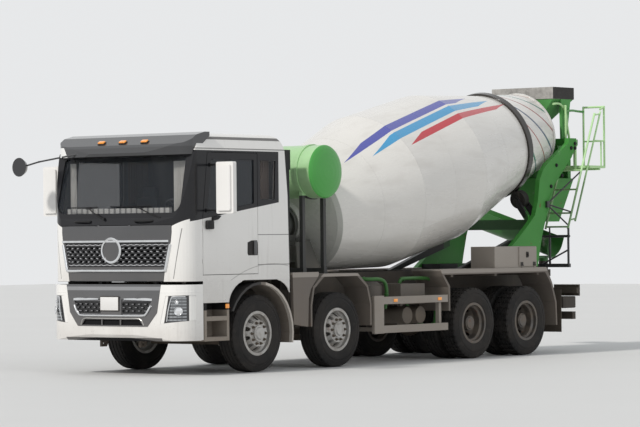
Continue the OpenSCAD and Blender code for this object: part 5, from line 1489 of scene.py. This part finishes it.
def makeBlades(c):
    bm = bmesh.new()
    middle = drumStart + drumAxis * c["first"]
    wide, narrow = c["cone"]
    for half in range(2):
        spoke = Matrix.Rotation(math.pi * half, 3, drumAxis) @ drumUp
        points = [middle + spoke * (c["inner"] + (wide - c["inner"]) * k / 3) for k in range(4)]
        spinLine(bm, points, middle, drumAxis, c["steps"], c["turn"], drumAxis * (c["length"] / c["steps"]))
    # the outer edge is drawn in to follow the cone
    for v in bm.verts:
        s = (v.co - middle).dot(drumAxis)
        foot = middle + drumAxis * s
        out = v.co - foot
        rim = wide + (narrow - wide) * s / c["length"]
        share = (out.length - c["inner"]) / (wide - c["inner"])
        v.co = foot + out.normalized() * (c["inner"] + (rim - c["inner"]) * share)
    bmesh.ops.remove_doubles(bm, verts=bm.verts, dist=1e-5)
    bmesh.ops.recalc_face_normals(bm, faces=bm.faces)
    bmesh.ops.solidify(bm, geom=bm.faces[:], thickness=c["wall"])
    makePiece("drumBlades", bm, "steel", "drum", 50)


def makeHatch(c):
    bm = bmesh.new()
    s, turn, height, r = c["hatch"]
    out = Vector((0, 1, 0)) * math.cos(turn) + drumUp * math.sin(turn)
    foot = drumStart + drumAxis * s + out * height
    addRod(bm, foot, foot + out * c["hatchDeep"], r, 32, r - c["hatchSlope"])
    count, inwards, start, high, boltR = c["bolts"]
    for k in range(count):
        a = 2 * math.pi * k / count
        place = foot + out * start + turned(out) @ (Vector((math.cos(a), math.sin(a), 0)) * (r - inwards))
        addRod(bm, place, place + out * high, boltR, 6)
    makePiece("drumHatch", bm, "white", "drum")


makeBlades(drumTrim)
makeHatch(drumTrim)
print("drum trim")


# curtains and the fringe behind the windscreen
cloths = {
    # x, where it starts across, its width and how many folds
    "front": ((1.30, 1.09, 0.30, 7), (1.30, -1.11, 0.10, 3)),
    "frontZ": (2.20, 2.92),
    "frontFold": 0.022,
    "side": (1.125, -0.33, 0.42, 8),      # y, where it starts along the cab, its width and how many folds
    "sideZ": (2.36, 2.96),
    "sideFold": 0.014,
    "fringe": (1.432, -1.06, 1.92, 34),
    "fringeZ": (2.192, 2.285),
    "fringeFold": 0.008,
    "levels": 4,
    "perFold": 8,
    "uneven": (0.75, 0.25, 9),            # the folds' least share of their depth, the rest, its waves
}


def makeCloth(name, start, along, deep, width, heights, count, fold, color):
    # a line run in folds along one way, then lifted to its height
    low, high = heights
    start = at(*start, low)
    steps = count * cloths["perFold"]
    places = [k / steps for k in range(steps + 1)]
    least, more, change = cloths["uneven"]
    folds = [math.sin(t * count * 2 * math.pi) * fold * (least + more * math.cos(t * change)) for t in places]
    bm = bmesh.new()
    line = [start + Vector(along) * width * t + Vector(deep) * out for t, out in zip(places, folds)]
    edges = addLine(bm, line)[1]
    for _ in range(cloths["levels"]):
        edges = growEdges(bm, edges, (0, 0, (high - low) / cloths["levels"]))[1]
    piece = makePiece(name, bm, color, "cab", 180)


def makeCurtains(c):
    for i, (x, y, width, count) in enumerate(c["front"]):
        inwards = (0, -1 if y > 0 else 1, 0)
        makeCloth(f"frontCurtain_{i + 1}", (x, y), inwards, (1, 0, 0), width, c["frontZ"], count,
                  c["frontFold"], "curtain")
    y, x, width, count = c["side"]
    for side, sign in sides:
        makeCloth(f"bunkCurtain_{side}", (x, y * sign), (1, 0, 0), (0, 1, 0), width, c["sideZ"], count,
                  c["sideFold"], "brown")
    x, y, width, count = c["fringe"]
    makeCloth("dashFringe", (x, y), (0, 1, 0), (1, 0, 0), width, c["fringeZ"], count, c["fringeFold"],
              "fringe")


makeCurtains(cloths)
print("curtains")


# studio
studio = {
    "floorHalf": 60,
    "floor": ((0.66, 0.66, 0.65), (0.63, 0.63, 0.62)),
    # what lights the truck, and what the camera and bright surfaces see: colour and strength
    "sky": ((0.93, 0.96, 1.0), 0.56),
    "shown": ((0.80, 0.81, 0.82), 1.0),
    # name, where the light comes from, energy, angle, colour
    "lamps": (
        ("keySun", (0.84, -0.10, 0.66), 2.2, 5, (1.0, 0.97, 0.93)),
        ("sideFill", (0.25, 0.90, 0.50), 0.35, 30, (0.95, 0.97, 1.0)),
    ),
}


def makeFloor(c):
    bm = bmesh.new()
    bmesh.ops.create_grid(bm, x_segments=1, y_segments=1, size=c["floorHalf"])
    p = Paint("studioFloor")
    color = p.mix(p.noise(0.3, 2.0), *c["floor"])
    addMesh("studioFloor", bm, p.finish(color=color, rough=0.7))


def makeSky(c):
    world = bpy.data.worlds.new("studioSky")
    sky = Graph(world)
    camera, glossy, through = (sky.node("ShaderNodeLightPath", {}, {}, f"Is {ray} Ray")
                               for ray in ("Camera", "Glossy", "Transmission"))
    light, shown = (sky.node("ShaderNodeBackground", {}, {"Color": color, "Strength": power})
                    for color, power in (c["sky"], c["shown"]))
    mixed = sky.node("ShaderNodeMixShader", {}, {0: camera.max(glossy).max(through), 1: light, 2: shown})
    out = sky.tree.nodes.new("ShaderNodeOutputWorld")
    sky.feed(out.inputs["Surface"], mixed)
    bpy.context.scene.world = world


def makeSuns(c):
    for name, comesFrom, energy, angle, color in c["lamps"]:
        lamp = bpy.data.lights.new(name, "SUN")
        lamp.energy = energy
        lamp.angle = math.radians(angle)
        lamp.color = color
        addObject(name, lamp).rotation_euler = Vector(comesFrom).to_track_quat("Z", "Y").to_euler()


makeFloor(studio)
makeSky(studio)
makeSuns(studio)
bpy.context.scene.view_settings.view_transform = "Standard"
print("studio ready")
